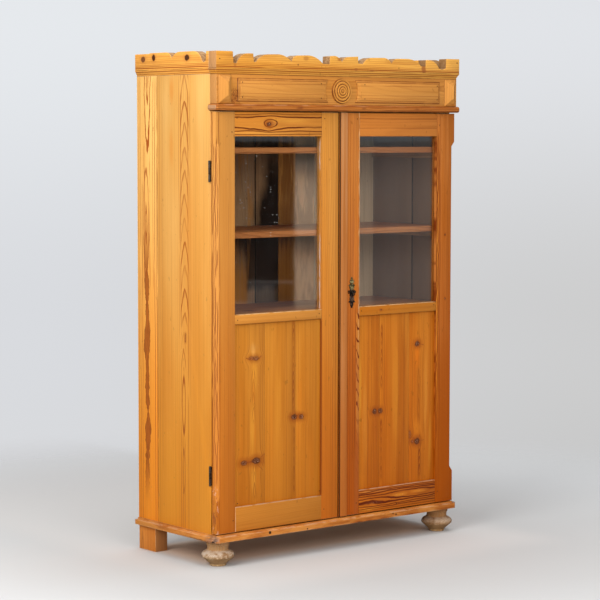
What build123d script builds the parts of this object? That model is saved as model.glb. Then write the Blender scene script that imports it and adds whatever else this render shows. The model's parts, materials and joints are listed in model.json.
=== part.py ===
from build123d import *
import math
import os

# Two-door glazed pine display cabinet, millimetres, +Z up.
# Working coordinates: X across (0 = middle), Y = 0 on the doors' front face and
# growing to the back, Z = 0 on the floor.  Every piece is shifted by -YC in Y on
# export, so the written model stands with its bounding box bottom centre at 0,0,0.

# ---------------------------------------------------------------- driving sizes
YC = 211.5            # half way between the moulding over the doors (-19) and the side boards' back edge (442)

HALF = 528.0          # outer face of a side board
SIDE_T = 22.0         # side board thickness
INNER = HALF - SIDE_T
Y_FRONT = 28.0        # front edge of the carcass
Y_REAR = 442.0        # back edge of the side boards
Y_BACK = 412.0        # front face of the back planks
BACK_T = 18.0
Z_SIDE0, Z_SIDE1 = 107.0, 1612.0

BASE_OUT = 544.5      # base moulding outer face, and how far it stands forward
BASE_FRONT = -16.5
BASE_CANT = 19.0
Z_BASE0, Z_BASE1, Z_BASE2 = 85.0, 102.5, 107.0
BASE_STEP = 11.0
BASE_IN = 490.0

DOOR_T = 26.0
DOOR_OUT = 526.0
Z_DOOR0, Z_DOOR1 = 111.0, 1491.0
L_MEET = -6.0         # left door's meeting edge
R_MEET = -2.5         # right door's meeting edge
L_STILE_IN, L_MEET_IN = -449.0, -82.0
R_STILE_IN, R_MEET_IN = 443.0, 86.0
Z_TOPRAIL = 1410.5
Z_MID1, Z_MID0 = 829.0, 796.5
Z_BOTRAIL = 193.5
REBATE = 8.0          # glass rebate and panel groove depth
Y_REBATE = 14.0
GLASS_T = 3.0
Y_PANEL0, Y_PANEL1 = 8.0, 20.0
TENON_L, TENON_Y0, TENON_Y1 = 32.0, 9.0, 17.0
ARRIS = 14.0          # stopped chamfer on the outer arrises
Z_ARRIS0, Z_ARRIS1 = 218.0, 1392.0

HINGE_X, HINGE_Y = 532.0, 27.0
KNUCKLE_R, PIN_R, PIN_GAP = 3.6, 1.5, 0.05
HINGE_Z = [(271.0, 333.0), (1265.0, 1331.0)]
LEAF_T = 2.0

SHELF_Z = [(802.0, 822.0), (1076.0, 1096.0), (1354.0, 1374.0)]
SHELF_Y0, SHELF_Y1 = 34.0, 411.0

Z_MOULD0, Z_MOULD1 = 1494.0, 1515.0
MOULD_FRONT, MOULD_OUT = -19.0, 537.0
FRIEZE_FRONT = -7.0
Z_CORN0, Z_CORN1, Z_TOP = 1612.0, 1631.0, 1682.0
CREST_OUT, CREST_FRONT = 535.0, -14.0
CREST_T_FRONT, CREST_T_SIDE = 38.5, 34.0

BUN_X, BUN_Y = 490.0, 41.0
KEY_X, KEY_Z = 51.3, 879.0

os.makedirs("parts", exist_ok=True)
PARTS = {}


def add(name, shape):
    PARTS[name] = shape


def box(x0, x1, y0, y1, z0, z1):
    return Pos((x0 + x1) / 2, (y0 + y1) / 2, (z0 + z1) / 2) * Box(abs(x1 - x0), abs(y1 - y0), abs(z1 - z0))


def cyl_z(x, y, z0, z1, r):
    return Pos(x, y, (z0 + z1) / 2) * Cylinder(r, z1 - z0)


def cyl_y(x, z, y0, y1, r):
    return Pos(x, (y0 + y1) / 2, z) * (Rot(90, 0, 0) * Cylinder(r, y1 - y0))


def poly_xz(points, y0, y1):
    face = Face(Wire.make_polygon([Vector(x, y0, z) for x, z in points], close=True))
    return extrude(face, amount=y1 - y0, dir=(0, 1, 0))


def poly_yz(points, x0, x1):
    face = Face(Wire.make_polygon([Vector(x0, y, z) for y, z in points], close=True))
    return extrude(face, amount=x1 - x0, dir=(1, 0, 0))


def poly_xy(points, z0, z1):
    face = Face(Wire.make_polygon([Vector(x, y, z0) for x, y in points], close=True))
    return extrude(face, amount=z1 - z0, dir=(0, 0, 1))


def outline(segments, frame):
    """Closed outline from ('l', p, q) lines and ('a', p, mid, q) arcs in 2D."""
    edges = []
    for s in segments:
        if s[0] == "l":
            edges.append(Edge.make_line(frame(*s[1]), frame(*s[2])))
        elif s[0] == "t":
            # arc that levels out at its upper end
            p, q = s[1], s[2]
            hi, lo = (p, q) if p[1] > q[1] else (q, p)
            dx, dz = lo[0] - hi[0], hi[1] - lo[1]
            r = (dx * dx + dz * dz) / (2 * dz)
            a0 = math.pi / 2
            a1 = math.atan2(lo[1] - (hi[1] - r), dx)
            am = (a0 + a1) / 2
            m = (hi[0] + r * math.cos(am), hi[1] - r + r * math.sin(am))
            edges.append(Edge.make_three_point_arc(frame(*p), frame(*m), frame(*q)))
        else:
            edges.append(Edge.make_three_point_arc(frame(*s[1]), frame(*s[2]), frame(*s[3])))
    return Face(Wire(edges))


def group(items):
    return Compound(children=[i.solid() if hasattr(i, "solid") else i for i in items])


# ---------------------------------------------------------------- carcass
def side_boards(sign, joint):
    boards = []
    for y0, y1 in ((Y_FRONT, joint), (joint, Y_REAR)):
        b = box(sign * INNER, sign * HALF, y0, y1, Z_SIDE0, Z_SIDE1)
        boards.append(b)
    for z0, z1 in HINGE_Z:
        boards[0] = boards[0] - box(sign * (HALF + 1), sign * (HALF - 21.0), Y_FRONT - 1, Y_FRONT + LEAF_T, z0, z1)
    return group(boards)


add("side_boards_left", side_boards(-1, 325.0))
add("side_boards_right", side_boards(1, 197.0))
add("top_board", box(-INNER, INNER, Y_FRONT, Y_BACK, 1590, 1610))
add("bottom_board", box(-INNER, INNER, Y_FRONT, Y_BACK, 107, 127))
add("head_rail", box(-INNER, INNER, Y_FRONT, 48, 1464, 1590))

plank_edges = [-INNER, -352.0, -200.0, -45.0, 60.0, 225.0, 365.0, INNER]
planks = []
for i in range(7):
    a = plank_edges[i] + (1.0 if i else 0.0)
    b = plank_edges[i + 1] - (1.5 if i < 6 else 0.0)
    planks.append(box(a, b, Y_BACK, Y_BACK + BACK_T, Z_SIDE0, 1610.0))
add("back_planks", group(planks))

for name, (z0, z1) in zip(("shelf_lower", "shelf_middle", "shelf_upper"), SHELF_Z):
    add(name, box(-INNER + 0.5, INNER - 0.5, SHELF_Y0, SHELF_Y1, z0, z1))
cleats = []
for z0, z1 in SHELF_Z:
    for s in (-1, 1):
        cleats.append(box(s * INNER, s * (INNER - 20), 44, 400, z0 - 20, z0))
add("shelf_cleats", group(cleats))

# ---------------------------------------------------------------- base
mx, my = (BASE_OUT - BASE_CANT / 2), (BASE_FRONT + BASE_CANT / 2)


def base_piece(points_low, points_high):
    low = poly_xy(points_low, Z_BASE0, Z_BASE1)
    high = poly_xy(points_high, Z_BASE1, Z_BASE2)
    return low + high


st = BASE_STEP
front_in_y = 54.0
dm = (front_in_y - my)
front_low = [(-mx, my), (-(BASE_OUT - BASE_CANT), BASE_FRONT), (BASE_OUT - BASE_CANT, BASE_FRONT), (mx, my),
             (mx - dm, front_in_y), (-(mx - dm), front_in_y)]
hs = st * 0.7071
mhx, mhy = mx - hs, my + hs
ch = BASE_CANT - st * 0.586
front_high = [(-mhx, mhy), (-(BASE_OUT - st - ch), BASE_FRONT + st), (BASE_OUT - st - ch, BASE_FRONT + st), (mhx, mhy),
              (mx - dm, front_in_y), (-(mx - dm), front_in_y)]
base_front = base_piece(front_low, front_high)
base_front = base_front - box(-49.0, -39.0, 14.5, 23.5, 94.0, 110.0)      # keeper hole of the bottom bolt
add("base_moulding_front", base_front)
for name, s in (("base_moulding_left", -1), ("base_moulding_right", 1)):
    low = [(s * mx, my), (s * BASE_OUT, BASE_FRONT + BASE_CANT), (s * BASE_OUT, Y_REAR), (s * (mx - dm), Y_REAR),
           (s * (mx - dm), front_in_y)]
    high = [(s * mhx, mhy), (s * (BASE_OUT - st), BASE_FRONT + st + ch), (s * (BASE_OUT - st), Y_REAR),
            (s * (mx - dm), Y_REAR), (s * (mx - dm), front_in_y)]
    add(name, base_piece(low, high))

# ---------------------------------------------------------------- feet
bun_pts = [(0, 0), (26.0, 0), (27.0, 2.0), (27.0, 6.5), (29.0, 8.2), (36.0, 14.5), (44.0, 21.5), (51.2, 28.3), (54.2, 32.0),
           (54.8, 35.0), (54.2, 39.0), (51.6, 43.8), (47.5, 47.8), (42.0, 51.0), (37.4, 53.4), (35.8, 56.5), (35.6, 64.0),
           (36.4, 69.0), (38.6, 72.0), (39.2, 76.0), (38.6, 85.0), (0, 85.0)]


def bun(x, y):
    prof = Face(Wire.make_polygon([Vector(r, 0, z) for r, z in bun_pts], close=True))
    return Pos(x, y, 0) * revolve(prof, Axis.Z, 360)


add("bun_foot_left", bun(-BUN_X, BUN_Y))
add("bun_foot_right", bun(BUN_X, BUN_Y))
for name, s in (("rear_foot_left", -1), ("rear_foot_right", 1)):
    add(name, box(s * HALF, s * (HALF - 49.0), 343.0, 440.0, 0.0, Z_BASE0))

# ---------------------------------------------------------------- frieze, mouldings, cornice
mould = box(-MOULD_OUT, MOULD_OUT, MOULD_FRONT, Y_FRONT, Z_MOULD0, Z_MOULD1)
vert = [e for e in mould.edges().filter_by(Axis.Z) if e.center().Y < 0]
mould = fillet(vert, 9.0)
front_loop = [e for e in mould.edges() if e.center().Y < Y_FRONT - 1 and (abs(e.center().Z - Z_MOULD0) < 0.01 or abs(e.center().Z - Z_MOULD1) < 0.01)]
mould = fillet(front_loop, 7.0)
mould = mould - box(-49.0, -39.0, 14.5, 23.5, 1480.0, 1507.0)             # keeper hole of the top bolt
add("mid_moulding", mould)
add("frieze_board", box(-HALF, HALF, FRIEZE_FRONT, Y_FRONT, Z_MOULD1, Z_CORN0))


def hip_block(cx):
    hw, h = 27.0, 22.0
    z0, z1, r0, r1 = Z_MOULD1 + 0.5, Z_CORN0 - 1.0, 1544.0, 1582.0
    y0 = FRIEZE_FRONT
    # prism with a vertical ridge, then the ends sloped back to the board
    prism = poly_xy([(cx - hw, y0), (cx, y0 - h), (cx + hw, y0)], z0, z1)
    keep = poly_yz([(y0, z0), (y0 - h - 0.01, r0), (y0 - h - 0.01, r1), (y0, z1)], cx - hw - 1, cx + hw + 1)
    return prism & keep


add("corner_block_left", hip_block(-495.5))
add("corner_block_right", hip_block(496.0))

ROS_X, ROS_Z, ROS_R = -3.0, 1562.5, 42.0
PANEL_ARC = 71.0


def frieze_panel(xa, side):
    """Raised plaque with a concave end that follows the rosette; side -1 left, +1 right."""
    z0, z1 = 1524.0, 1600.0
    za, zb = z0 - ROS_Z, z1 - ROS_Z

    def pt(inset):
        r = PANEL_ARC + inset
        lo, hi = za + inset, zb - inset
        xl = math.sqrt(r * r - lo * lo)
        xh = math.sqrt(r * r - hi * hi)
        xo = xa - side * inset
        return [("l", (xo, ROS_Z + lo), (ROS_X + side * xl, ROS_Z + lo)),
                ("a", (ROS_X + side * xl, ROS_Z + lo), (ROS_X + side * r, ROS_Z), (ROS_X + side * xh, ROS_Z + hi)),
                ("l", (ROS_X + side * xh, ROS_Z + hi), (xo, ROS_Z + hi)),
                ("l", (xo, ROS_Z + hi), (xo, ROS_Z + lo))]
    steps = [(0.0, 0.0, 3.0), (3.0, 3.0, 4.5), (11.0, 4.5, 6.5)]
    body = None
    for inset, h0, h1 in steps:
        f = outline(pt(inset), lambda x, z: Vector(x, FRIEZE_FRONT - h0, z))
        s = extrude(f, amount=h1 - h0, dir=(0, -1, 0))
        body = s if body is None else body + s
    return body


add("frieze_panel_left", frieze_panel(-444.0, -1))
add("frieze_panel_right", frieze_panel(445.0, 1))
nails = []
for x in (-428.0, -96.0, 96.0, 430.0):
    for z in (1538.0, 1586.0):
        nails.append(cyl_y(x, z, FRIEZE_FRONT - 7.3, FRIEZE_FRONT - 6.5, 1.8))
add("frieze_nails", group(nails))

ros_pts = [(0, 0), (0, 12.0), (3.0, 11.6), (5.0, 9.2), (7.0, 8.4), (9.5, 10.0), (12.0, 9.8), (13.5, 8.0), (15.5, 7.6),
           (18.0, 9.2), (20.5, 9.0), (22.0, 7.2), (24.5, 6.8), (28.0, 8.2), (31.0, 8.0), (33.0, 6.0), (35.0, 5.6),
           (38.0, 6.6), (40.5, 5.6), (42.0, 3.0), (42.0, 0)]
ros_face = Face(Wire.make_polygon([Vector(ROS_X + r, FRIEZE_FRONT - h, ROS_Z) for r, h in ros_pts], close=True))
add("rosette", revolve(ros_face, Axis((ROS_X, FRIEZE_FRONT, ROS_Z), (0, 1, 0)), 360))

corn_pts = [(0.0, Z_CORN0), (0.0, Z_CORN0 + 5.0), (2.2, Z_CORN0 + 6.5), (3.2, Z_CORN0 + 10.5), (5.8, Z_CORN0 + 14.0),
            (7.0, Z_CORN0 + 15.5), (7.0, Z_CORN1)]


def cornice_yz(x0, x1):
    pts = [(Y_FRONT, Z_CORN0)] + [(FRIEZE_FRONT - o, z) for o, z in corn_pts] + [(Y_FRONT, Z_CORN1)]
    return poly_yz(pts, x0, x1)


def cornice_xz(y0, y1):
    right = [(HALF + o, z) for o, z in corn_pts]
    return poly_xz(right + [(-x, z) for x, z in reversed(right)], y0, y1)


add("cornice_front", cornice_yz(-CREST_OUT, CREST_OUT) & cornice_xz(CREST_FRONT, Y_FRONT))
side_corn = cornice_xz(Y_FRONT, Y_REAR)
add("cornice_left", side_corn & box(-CREST_OUT, -(CREST_OUT - CREST_T_SIDE), Y_FRONT, Y_REAR, Z_CORN0, Z_CORN1))
add("cornice_right", side_corn & box(CREST_OUT - CREST_T_SIDE, CREST_OUT, Y_FRONT, Y_REAR, Z_CORN0, Z_CORN1))

# cut-out crest, outline read along the front from left to right
Z0 = Z_CORN1
front_top = [
    ("l", (-535, Z0), (-535, 1685)), ("l", (-535, 1685), (-471, 1685)), ("a", (-471, 1685), (-467, 1683.4), (-466, 1679)),
    ("l", (-466, 1679), (-464, 1648)), ("l", (-464, 1648), (-452, 1646.5)), ("t", (-452, 1646.5), (-404, 1679.5)),
    ("l", (-404, 1679.5), (-383, 1679.5)), ("l", (-383, 1679.5), (-381, 1652.5)), ("l", (-381, 1652.5), (-373, 1652.5)),
    ("t", (-373, 1652.5), (-318, 1678.5)), ("l", (-318, 1678.5), (-280, 1679.5)),
    ("t", (-280, 1679.5), (-223.5, 1657)), ("t", (-223.5, 1657), (-198, 1677.5)),
    ("l", (-198, 1677.5), (-154, 1679)), ("t", (-154, 1679), (-89, 1652.5)), ("l", (-89, 1652.5), (-60, 1651.5)),
    ("l", (-60, 1651.5), (-59, 1678)), ("l", (-59, 1678), (-40, 1680)), ("t", (-40, 1680), (-6, 1660)),
    ("t", (-6, 1660), (25, 1678)), ("l", (25, 1678), (65.5, 1680)), ("l", (65.5, 1680), (67, 1657)),
    ("l", (67, 1657), (86, 1655.5)), ("t", (86, 1655.5), (128, 1677.5)), ("l", (128, 1677.5), (182, 1678.5)),
    ("t", (182, 1678.5), (216, 1660)), ("t", (216, 1660), (246, 1677)),
    ("l", (246, 1677), (290, 1677.5)), ("t", (290, 1677.5), (346, 1661)), ("l", (346, 1661), (352, 1654)),
    ("l", (352, 1654), (374, 1653)), ("l", (374, 1653), (375, 1675.5)), ("l", (375, 1675.5), (391, 1675.5)),
    ("t", (391, 1675.5), (437, 1649)), ("a", (437, 1649), (454, 1643.5), (470, 1650)),
    ("l", (470, 1650), (472, 1679)), ("a", (472, 1679), (473.2, 1680.8), (476, 1681.5)), ("l", (476, 1681.5), (535, 1682)),
    ("l", (535, 1682), (535, Z0)), ("l", (535, Z0), (-535, Z0)),
]
face = outline(front_top, lambda x, z: Vector(x, CREST_FRONT, z))
add("crest_front", extrude(face, amount=CREST_T_FRONT, dir=(0, 1, 0)))

y_cf = CREST_FRONT + CREST_T_FRONT
def side_top(t0, t1):
    """Outline of a side board; its top stands at t0 near the front and t1 at the back."""
    return [
        ("l", (y_cf, Z0), (y_cf, t0)), ("l", (y_cf, t0), (40, t0)), ("l", (40, t0), (42, 1655)),
        ("a", (42, 1655), (52, 1650.5), (65, 1655)), ("t", (65, 1655), (112, t1)), ("l", (112, t1), (188, t1)),
        ("t", (188, t1), (231, 1665)), ("t", (231, 1665), (266, t1)),
        ("l", (266, t1), (352, t1)), ("l", (352, t1), (362, t1 - 2)), ("l", (362, t1 - 2), (442, t1 - 2)),
        ("l", (442, t1 - 2), (442, Z0)), ("l", (442, Z0), (y_cf, Z0)),
    ]


for name, s, t0, t1 in (("crest_left", -1, 1685, 1687), ("crest_right", 1, 1682, 1682)):
    x0 = -CREST_OUT if s < 0 else CREST_OUT - CREST_T_SIDE
    face = outline(side_top(t0, t1), lambda y, z: Vector(x0, y, z))
    add(name, extrude(face, amount=CREST_T_SIDE, dir=(1, 0, 0)))

# ---------------------------------------------------------------- doors
def arris_tool(sign):
    d = Vector(-sign, 1, 0).normalized()
    e = Vector(1, sign, 0).normalized() if sign > 0 else Vector(1, -1, 0).normalized()
    pl = Plane(origin=(sign * DOOR_OUT, 0, 0), x_dir=d, z_dir=e)
    depth = ARRIS / math.sqrt(2)
    run = 16.0
    ext = 5.0
    ez = run * ext / depth
    pts = [(-ext, Z_ARRIS0 - ez), (depth, Z_ARRIS0 + run), (depth, Z_ARRIS1 - run), (-ext, Z_ARRIS1 + ez)]
    f = Face(Wire.make_polygon([pl.from_local_coords(Vector(a, b, -30)) for a, b in pts], close=True))
    return extrude(f, amount=60, dir=tuple(e))


def door(side, x_out, x_out_in, x_meet_in, x_meet, prefix):
    """side -1: left door.  x_out..x_out_in hinge stile, x_meet_in..x_meet meeting stile."""
    s_out = 1 if x_out_in > x_out else -1            # direction from the hinge edge inwards
    zg0, zg1 = Z_MID1 - REBATE, Z_TOPRAIL + REBATE
    zp0, zp1 = Z_BOTRAIL - REBATE, Z_MID0 + REBATE
    hinge_stile = box(x_out, x_out_in, 0, DOOR_T, Z_DOOR0, Z_DOOR1)
    meet_stile = box(x_meet_in, x_meet, 0, DOOR_T, Z_DOOR0, Z_DOOR1)
    hinge_stile = hinge_stile - box(x_out_in + s_out, x_out_in - s_out * REBATE, Y_REBATE, DOOR_T + 1, zg0, zg1)
    hinge_stile = hinge_stile - box(x_out_in + s_out, x_out_in - s_out * REBATE, Y_PANEL0, Y_PANEL1, zp0, zp1)
    meet_stile = meet_stile - box(x_meet_in - s_out, x_meet_in + s_out * REBATE, Y_REBATE, DOOR_T + 1, zg0, zg1)
    meet_stile = meet_stile - box(x_meet_in - s_out, x_meet_in + s_out * REBATE, Y_PANEL0, Y_PANEL1, zp0, zp1)
    xa, xb = sorted((x_out_in, x_meet_in))
    rails = {}
    top = box(xa, xb, 0, DOOR_T, Z_TOPRAIL, Z_DOOR1) - box(xa - 1, xb + 1, Y_REBATE, DOOR_T + 1, Z_TOPRAIL - 1, zg1)
    mid = box(xa, xb, 0, DOOR_T, Z_MID0, Z_MID1) - box(xa - 1, xb + 1, Y_REBATE, DOOR_T + 1, zg0, Z_MID1 + 1) \
        - box(xa - 1, xb + 1, Y_PANEL0, Y_PANEL1, Z_MID0 - 1, zp1)
    bot = box(xa, xb, 0, DOOR_T, Z_DOOR0, Z_BOTRAIL) - box(xa - 1, xb + 1, Y_PANEL0, Y_PANEL1, zp0, Z_BOTRAIL + 1)
    for key, solid, tz0, tz1 in (("top_rail", top, zg1 + 2, Z_DOOR1 - 12), ("mid_rail", mid, zp1 + 1, zg0 - 1),
                                 ("bottom_rail", bot, Z_DOOR0 + 12, zp0 - 2)):
        left_t = box(xa - TENON_L, xa, TENON_Y0, TENON_Y1 if key != "mid_rail" else Y_REBATE, tz0, tz1)
        right_t = box(xb, xb + TENON_L, TENON_Y0, TENON_Y1 if key != "mid_rail" else Y_REBATE, tz0, tz1)
        if side > 0 and key == "mid_rail":
            # short stub beside the lock
            left_t = box(xa - 20.0, xa, TENON_Y0, Y_REBATE, tz0, tz1)
        rails[key] = solid + left_t + right_t
        for t in (left_t, right_t):
            hinge_stile = hinge_stile - t
            meet_stile = meet_stile - t
    hinge_stile = hinge_stile - arris_tool(side)
    for z0, z1 in HINGE_Z:
        hinge_stile = hinge_stile - box(x_out - s_out, x_out + s_out * 26.0, DOOR_T - LEAF_T, DOOR_T + 1, z0, z1)
    add(prefix + "_hinge_stile", hinge_stile)
    for key, r in rails.items():
        add(prefix + "_" + key, r)
    ga, gb = xa - REBATE + 0.5, xb + REBATE - 0.5
    add(prefix + "_glass", box(ga, gb, Y_REBATE, Y_REBATE + GLASS_T, zg0 + 0.5, zg1 - 0.5))
    yb0, yb1, w = Y_REBATE + GLASS_T, Y_REBATE + GLASS_T + 7.0, 7.0
    beads = [box(xa - REBATE, xa - REBATE + w, yb0, yb1, zg0, zg1), box(xb + REBATE - w, xb + REBATE, yb0, yb1, zg0, zg1),
             box(xa - REBATE + w, xb + REBATE - w, yb0, yb1, zg0, zg0 + w),
             box(xa - REBATE + w, xb + REBATE - w, yb0, yb1, zg1 - w, zg1)]
    add(prefix + "_glazing_beads", group(beads))
    # lower panel of three boards, edge to edge
    pa, pb = xa - REBATE + 0.6, xb + REBATE - 0.6
    cuts = [pa, pa + (pb - pa) * (0.36 if side < 0 else 0.29), pa + (pb - pa) * (0.70 if side < 0 else 0.66), pb]
    boards = [box(cuts[i], cuts[i + 1], Y_PANEL0 + 0.2, Y_PANEL1 - 0.2, zp0 + 0.6, zp1 - 0.6) for i in range(3)]
    add(prefix + "_panel_boards", group(boards))
    return meet_stile


left_meet = door(-1, -DOOR_OUT, L_STILE_IN, L_MEET_IN, L_MEET, "left_door")
right_meet = door(1, DOOR_OUT, R_STILE_IN, R_MEET_IN, R_MEET, "right_door")

# flush bolts let into the back of the left door's meeting stile
BOLT_X0, BOLT_X1, BOLT_Y0, BOLT_Y1 = -48.0, -40.0, 16.0, 22.0
BOLT_TRAVEL = 12.0
left_meet = left_meet - box(BOLT_X0 - 0.4, BOLT_X1 + 0.4, BOLT_Y0 - 0.4, DOOR_T - 2, 1362, Z_DOOR1 + 1) \
    - box(-54, -34, DOOR_T - 2, DOOR_T + 1, 1352, Z_DOOR1 + 1)
left_meet = left_meet - box(BOLT_X0 - 0.4, BOLT_X1 + 0.4, BOLT_Y0 - 0.4, DOOR_T - 2, Z_DOOR0 - 1, 240) \
    - box(-54, -34, DOOR_T - 2, DOOR_T + 1, Z_DOOR0 - 1, 250)
add("left_door_meeting_stile", left_meet)
top_plate = box(-54, -34, DOOR_T - 2, DOOR_T, 1352, Z_DOOR1) - box(-46.2, -41.8, DOOR_T - 3, DOOR_T + 1, 1376, 1396)
low_plate = box(-54, -34, DOOR_T - 2, DOOR_T, Z_DOOR0, 250) - box(-46.2, -41.8, DOOR_T - 3, DOOR_T + 1, 206, 226)
add("bolt_plates", group([top_plate, low_plate]))
top_bolt = box(BOLT_X0, BOLT_X1, BOLT_Y0, BOLT_Y1, 1366, 1488) + cyl_y(-44, 1379.5, BOLT_Y1, DOOR_T + 3, 1.8) \
    + cyl_y(-44, 1379.5, DOOR_T + 1.2, DOOR_T + 7.5, 4.5)
low_bolt = box(BOLT_X0, BOLT_X1, BOLT_Y0, BOLT_Y1, 114, 236) + cyl_y(-44, 222.5, BOLT_Y1, DOOR_T + 3, 1.8) \
    + cyl_y(-44, 222.5, DOOR_T + 1.2, DOOR_T + 7.5, 4.5)
add("top_bolt", top_bolt)
add("bottom_bolt", low_bolt)

# ---------------------------------------------------------------- lock on the right door
keyway = cyl_y(KEY_X, KEY_Z, -3, DOOR_T + 1, 5.0) + box(KEY_X - 2.6, KEY_X + 2.6, -3, DOOR_T + 1, KEY_Z - 14, KEY_Z)
add("right_door_meeting_stile", right_meet - keyway)
add("astragal_strip", box(R_MEET, 28.5, -5.0, 0.0, Z_DOOR0, Z_DOOR1))

CASE = (4.0, 74.0, DOOR_T, 38.0, 846.0, 914.0)
case = box(*CASE) - box(CASE[0] + 1.5, CASE[1] - 1.5, CASE[2] + 1.5, CASE[3] - 1.5, CASE[4] + 1.5, CASE[5] - 1.5)
case = case - cyl_y(KEY_X, KEY_Z, DOOR_T - 1, DOOR_T + 3, 3.08) - box(KEY_X - 1.6, KEY_X + 1.6, DOOR_T - 1, DOOR_T + 3, KEY_Z - 12, KEY_Z)
case = case - box(CASE[0] - 1, CASE[0] + 3, 28.2, 35.8, 892.7, 904.3)
add("lock_case", case)
add("lock_bolt", box(4.2, 62.0, 28.5, 35.5, 893.0, 904.0))
keeper = box(-25.0, -7.5, DOOR_T, 38.0, 884.0, 913.0) - box(-21.0, -7.0, 27.8, 36.2, 892.0, 905.0)
add("lock_keeper", keeper)

esc_half = [(0, 54.0), (3.2, 51.0), (3.6, 47.5), (2.4, 45.0), (6.0, 42.5), (8.6, 38.0), (8.0, 33.0), (10.8, 30.5),
            (13.2, 27.0), (11.8, 23.2), (8.6, 21.5), (9.6, 16.0), (11.6, 11.0), (15.4, 9.0), (17.4, 4.5), (16.8, -1.0),
            (13.0, -4.6), (10.4, -6.5), (9.8, -12.0), (9.4, -20.0), (9.8, -26.0), (12.6, -28.5), (12.8, -32.5),
            (9.8, -35.0), (7.2, -38.0), (6.0, -42.0), (3.0, -45.0), (4.4, -48.0), (3.4, -51.5), (0, -53.0)]
esc_pts = [(KEY_X + a, KEY_Z + b) for a, b in esc_half] + [(KEY_X - a, KEY_Z + b) for a, b in reversed(esc_half[1:-1])]
esc = poly_xz(esc_pts, -2.5, 0.0) - cyl_y(KEY_X, KEY_Z, -4, 1, 3.6) - box(KEY_X - 1.8, KEY_X + 1.8, -4, 1, KEY_Z - 12, KEY_Z)
add("escutcheon", esc)

BOW_Y, BOW_A, BOW_B, BOW_W = -12.2, 6.3, 10.0, 2.9      # oval bow: centre, half length, half height, wire width
ring = Pos(KEY_X - 1.7, BOW_Y, KEY_Z) * (Rot(0, 90, 0) * (extrude(Ellipse(BOW_B, BOW_A), 3.4) - extrude(Ellipse(BOW_B - BOW_W, BOW_A - BOW_W), 3.4)))
key = ring + cyl_y(KEY_X, KEY_Z, BOW_Y + BOW_A - BOW_W + 0.5, 35.8, 3.0) + cyl_y(KEY_X, KEY_Z, -6.6, -3.6, 4.4) \
    + box(KEY_X - 1.2, KEY_X + 1.2, 29.0, 34.5, KEY_Z - 10.5, KEY_Z)
add("key", key)

# ---------------------------------------------------------------- hinges
def hinge_sets(sign):
    carc, pins, leaves = [], [], []
    cx = sign * HINGE_X
    for z0, z1 in HINGE_Z:
        third = (z1 - z0) / 3.0
        ring_low = cyl_z(cx, HINGE_Y, z0, z0 + third - 0.3, KNUCKLE_R)
        ring_top = cyl_z(cx, HINGE_Y, z1 - third + 0.3, z1, KNUCKLE_R)
        plate = box(cx, sign * (HALF - 20.5), Y_FRONT, Y_FRONT + LEAF_T, z0 + 0.1, z1 - 0.1) \
            - box(sign * (HINGE_X + 6), sign * (HALF - 0.2), Y_FRONT - 1, Y_FRONT + LEAF_T + 1, z0 + third - 0.3, z1 - third + 0.3)
        leaf = (ring_low + ring_top + plate) - cyl_z(cx, HINGE_Y, z0 - 1, z1 + 1, PIN_R + PIN_GAP)
        carc.append(leaf)
        mid_ring = cyl_z(cx, HINGE_Y, z0 + third + 0.3, z1 - third - 0.3, KNUCKLE_R)
        dplate = box(cx, sign * (DOOR_OUT - 25.5), DOOR_T - LEAF_T, DOOR_T, z0 + 0.1, z1 - 0.1)
        for a, b in ((z0 - 1, z0 + third + 0.3), (z1 - third - 0.3, z1 + 1)):
            dplate = dplate - box(sign * (HINGE_X + 6), sign * (DOOR_OUT + 0.8), DOOR_T - LEAF_T - 1, DOOR_T + 1, a, b)
        dleaf = (mid_ring + dplate) - cyl_z(cx, HINGE_Y, z0 - 1, z1 + 1, PIN_R + PIN_GAP)
        leaves.append(dleaf)
        pin = cyl_z(cx, HINGE_Y, z0, z1, PIN_R) + cyl_z(cx, HINGE_Y, z1, z1 + 2.2, 3.0) + cyl_z(cx, HINGE_Y, z0 - 2.2, z0, 3.0)
        pins.append(pin)
    return carc, pins, leaves


lc, lp, ll = hinge_sets(-1)
rc, rp, rl = hinge_sets(1)
add("carcass_hinge_leaves", group(lc + rc))
add("hinge_pins", group(lp + rp))
add("left_door_hinge_leaves", group(ll))
add("right_door_hinge_leaves", group(rl))

# ---------------------------------------------------------------- write
for name, shape in PARTS.items():
    moved = shape.moved(Location((0, -YC, 0)))
    export_step(moved, "parts/" + name + ".step")
print(len(PARTS), "nodes")
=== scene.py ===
import json
import math
import random

import bmesh
import bpy
from mathutils import Matrix, Vector, noise


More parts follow.
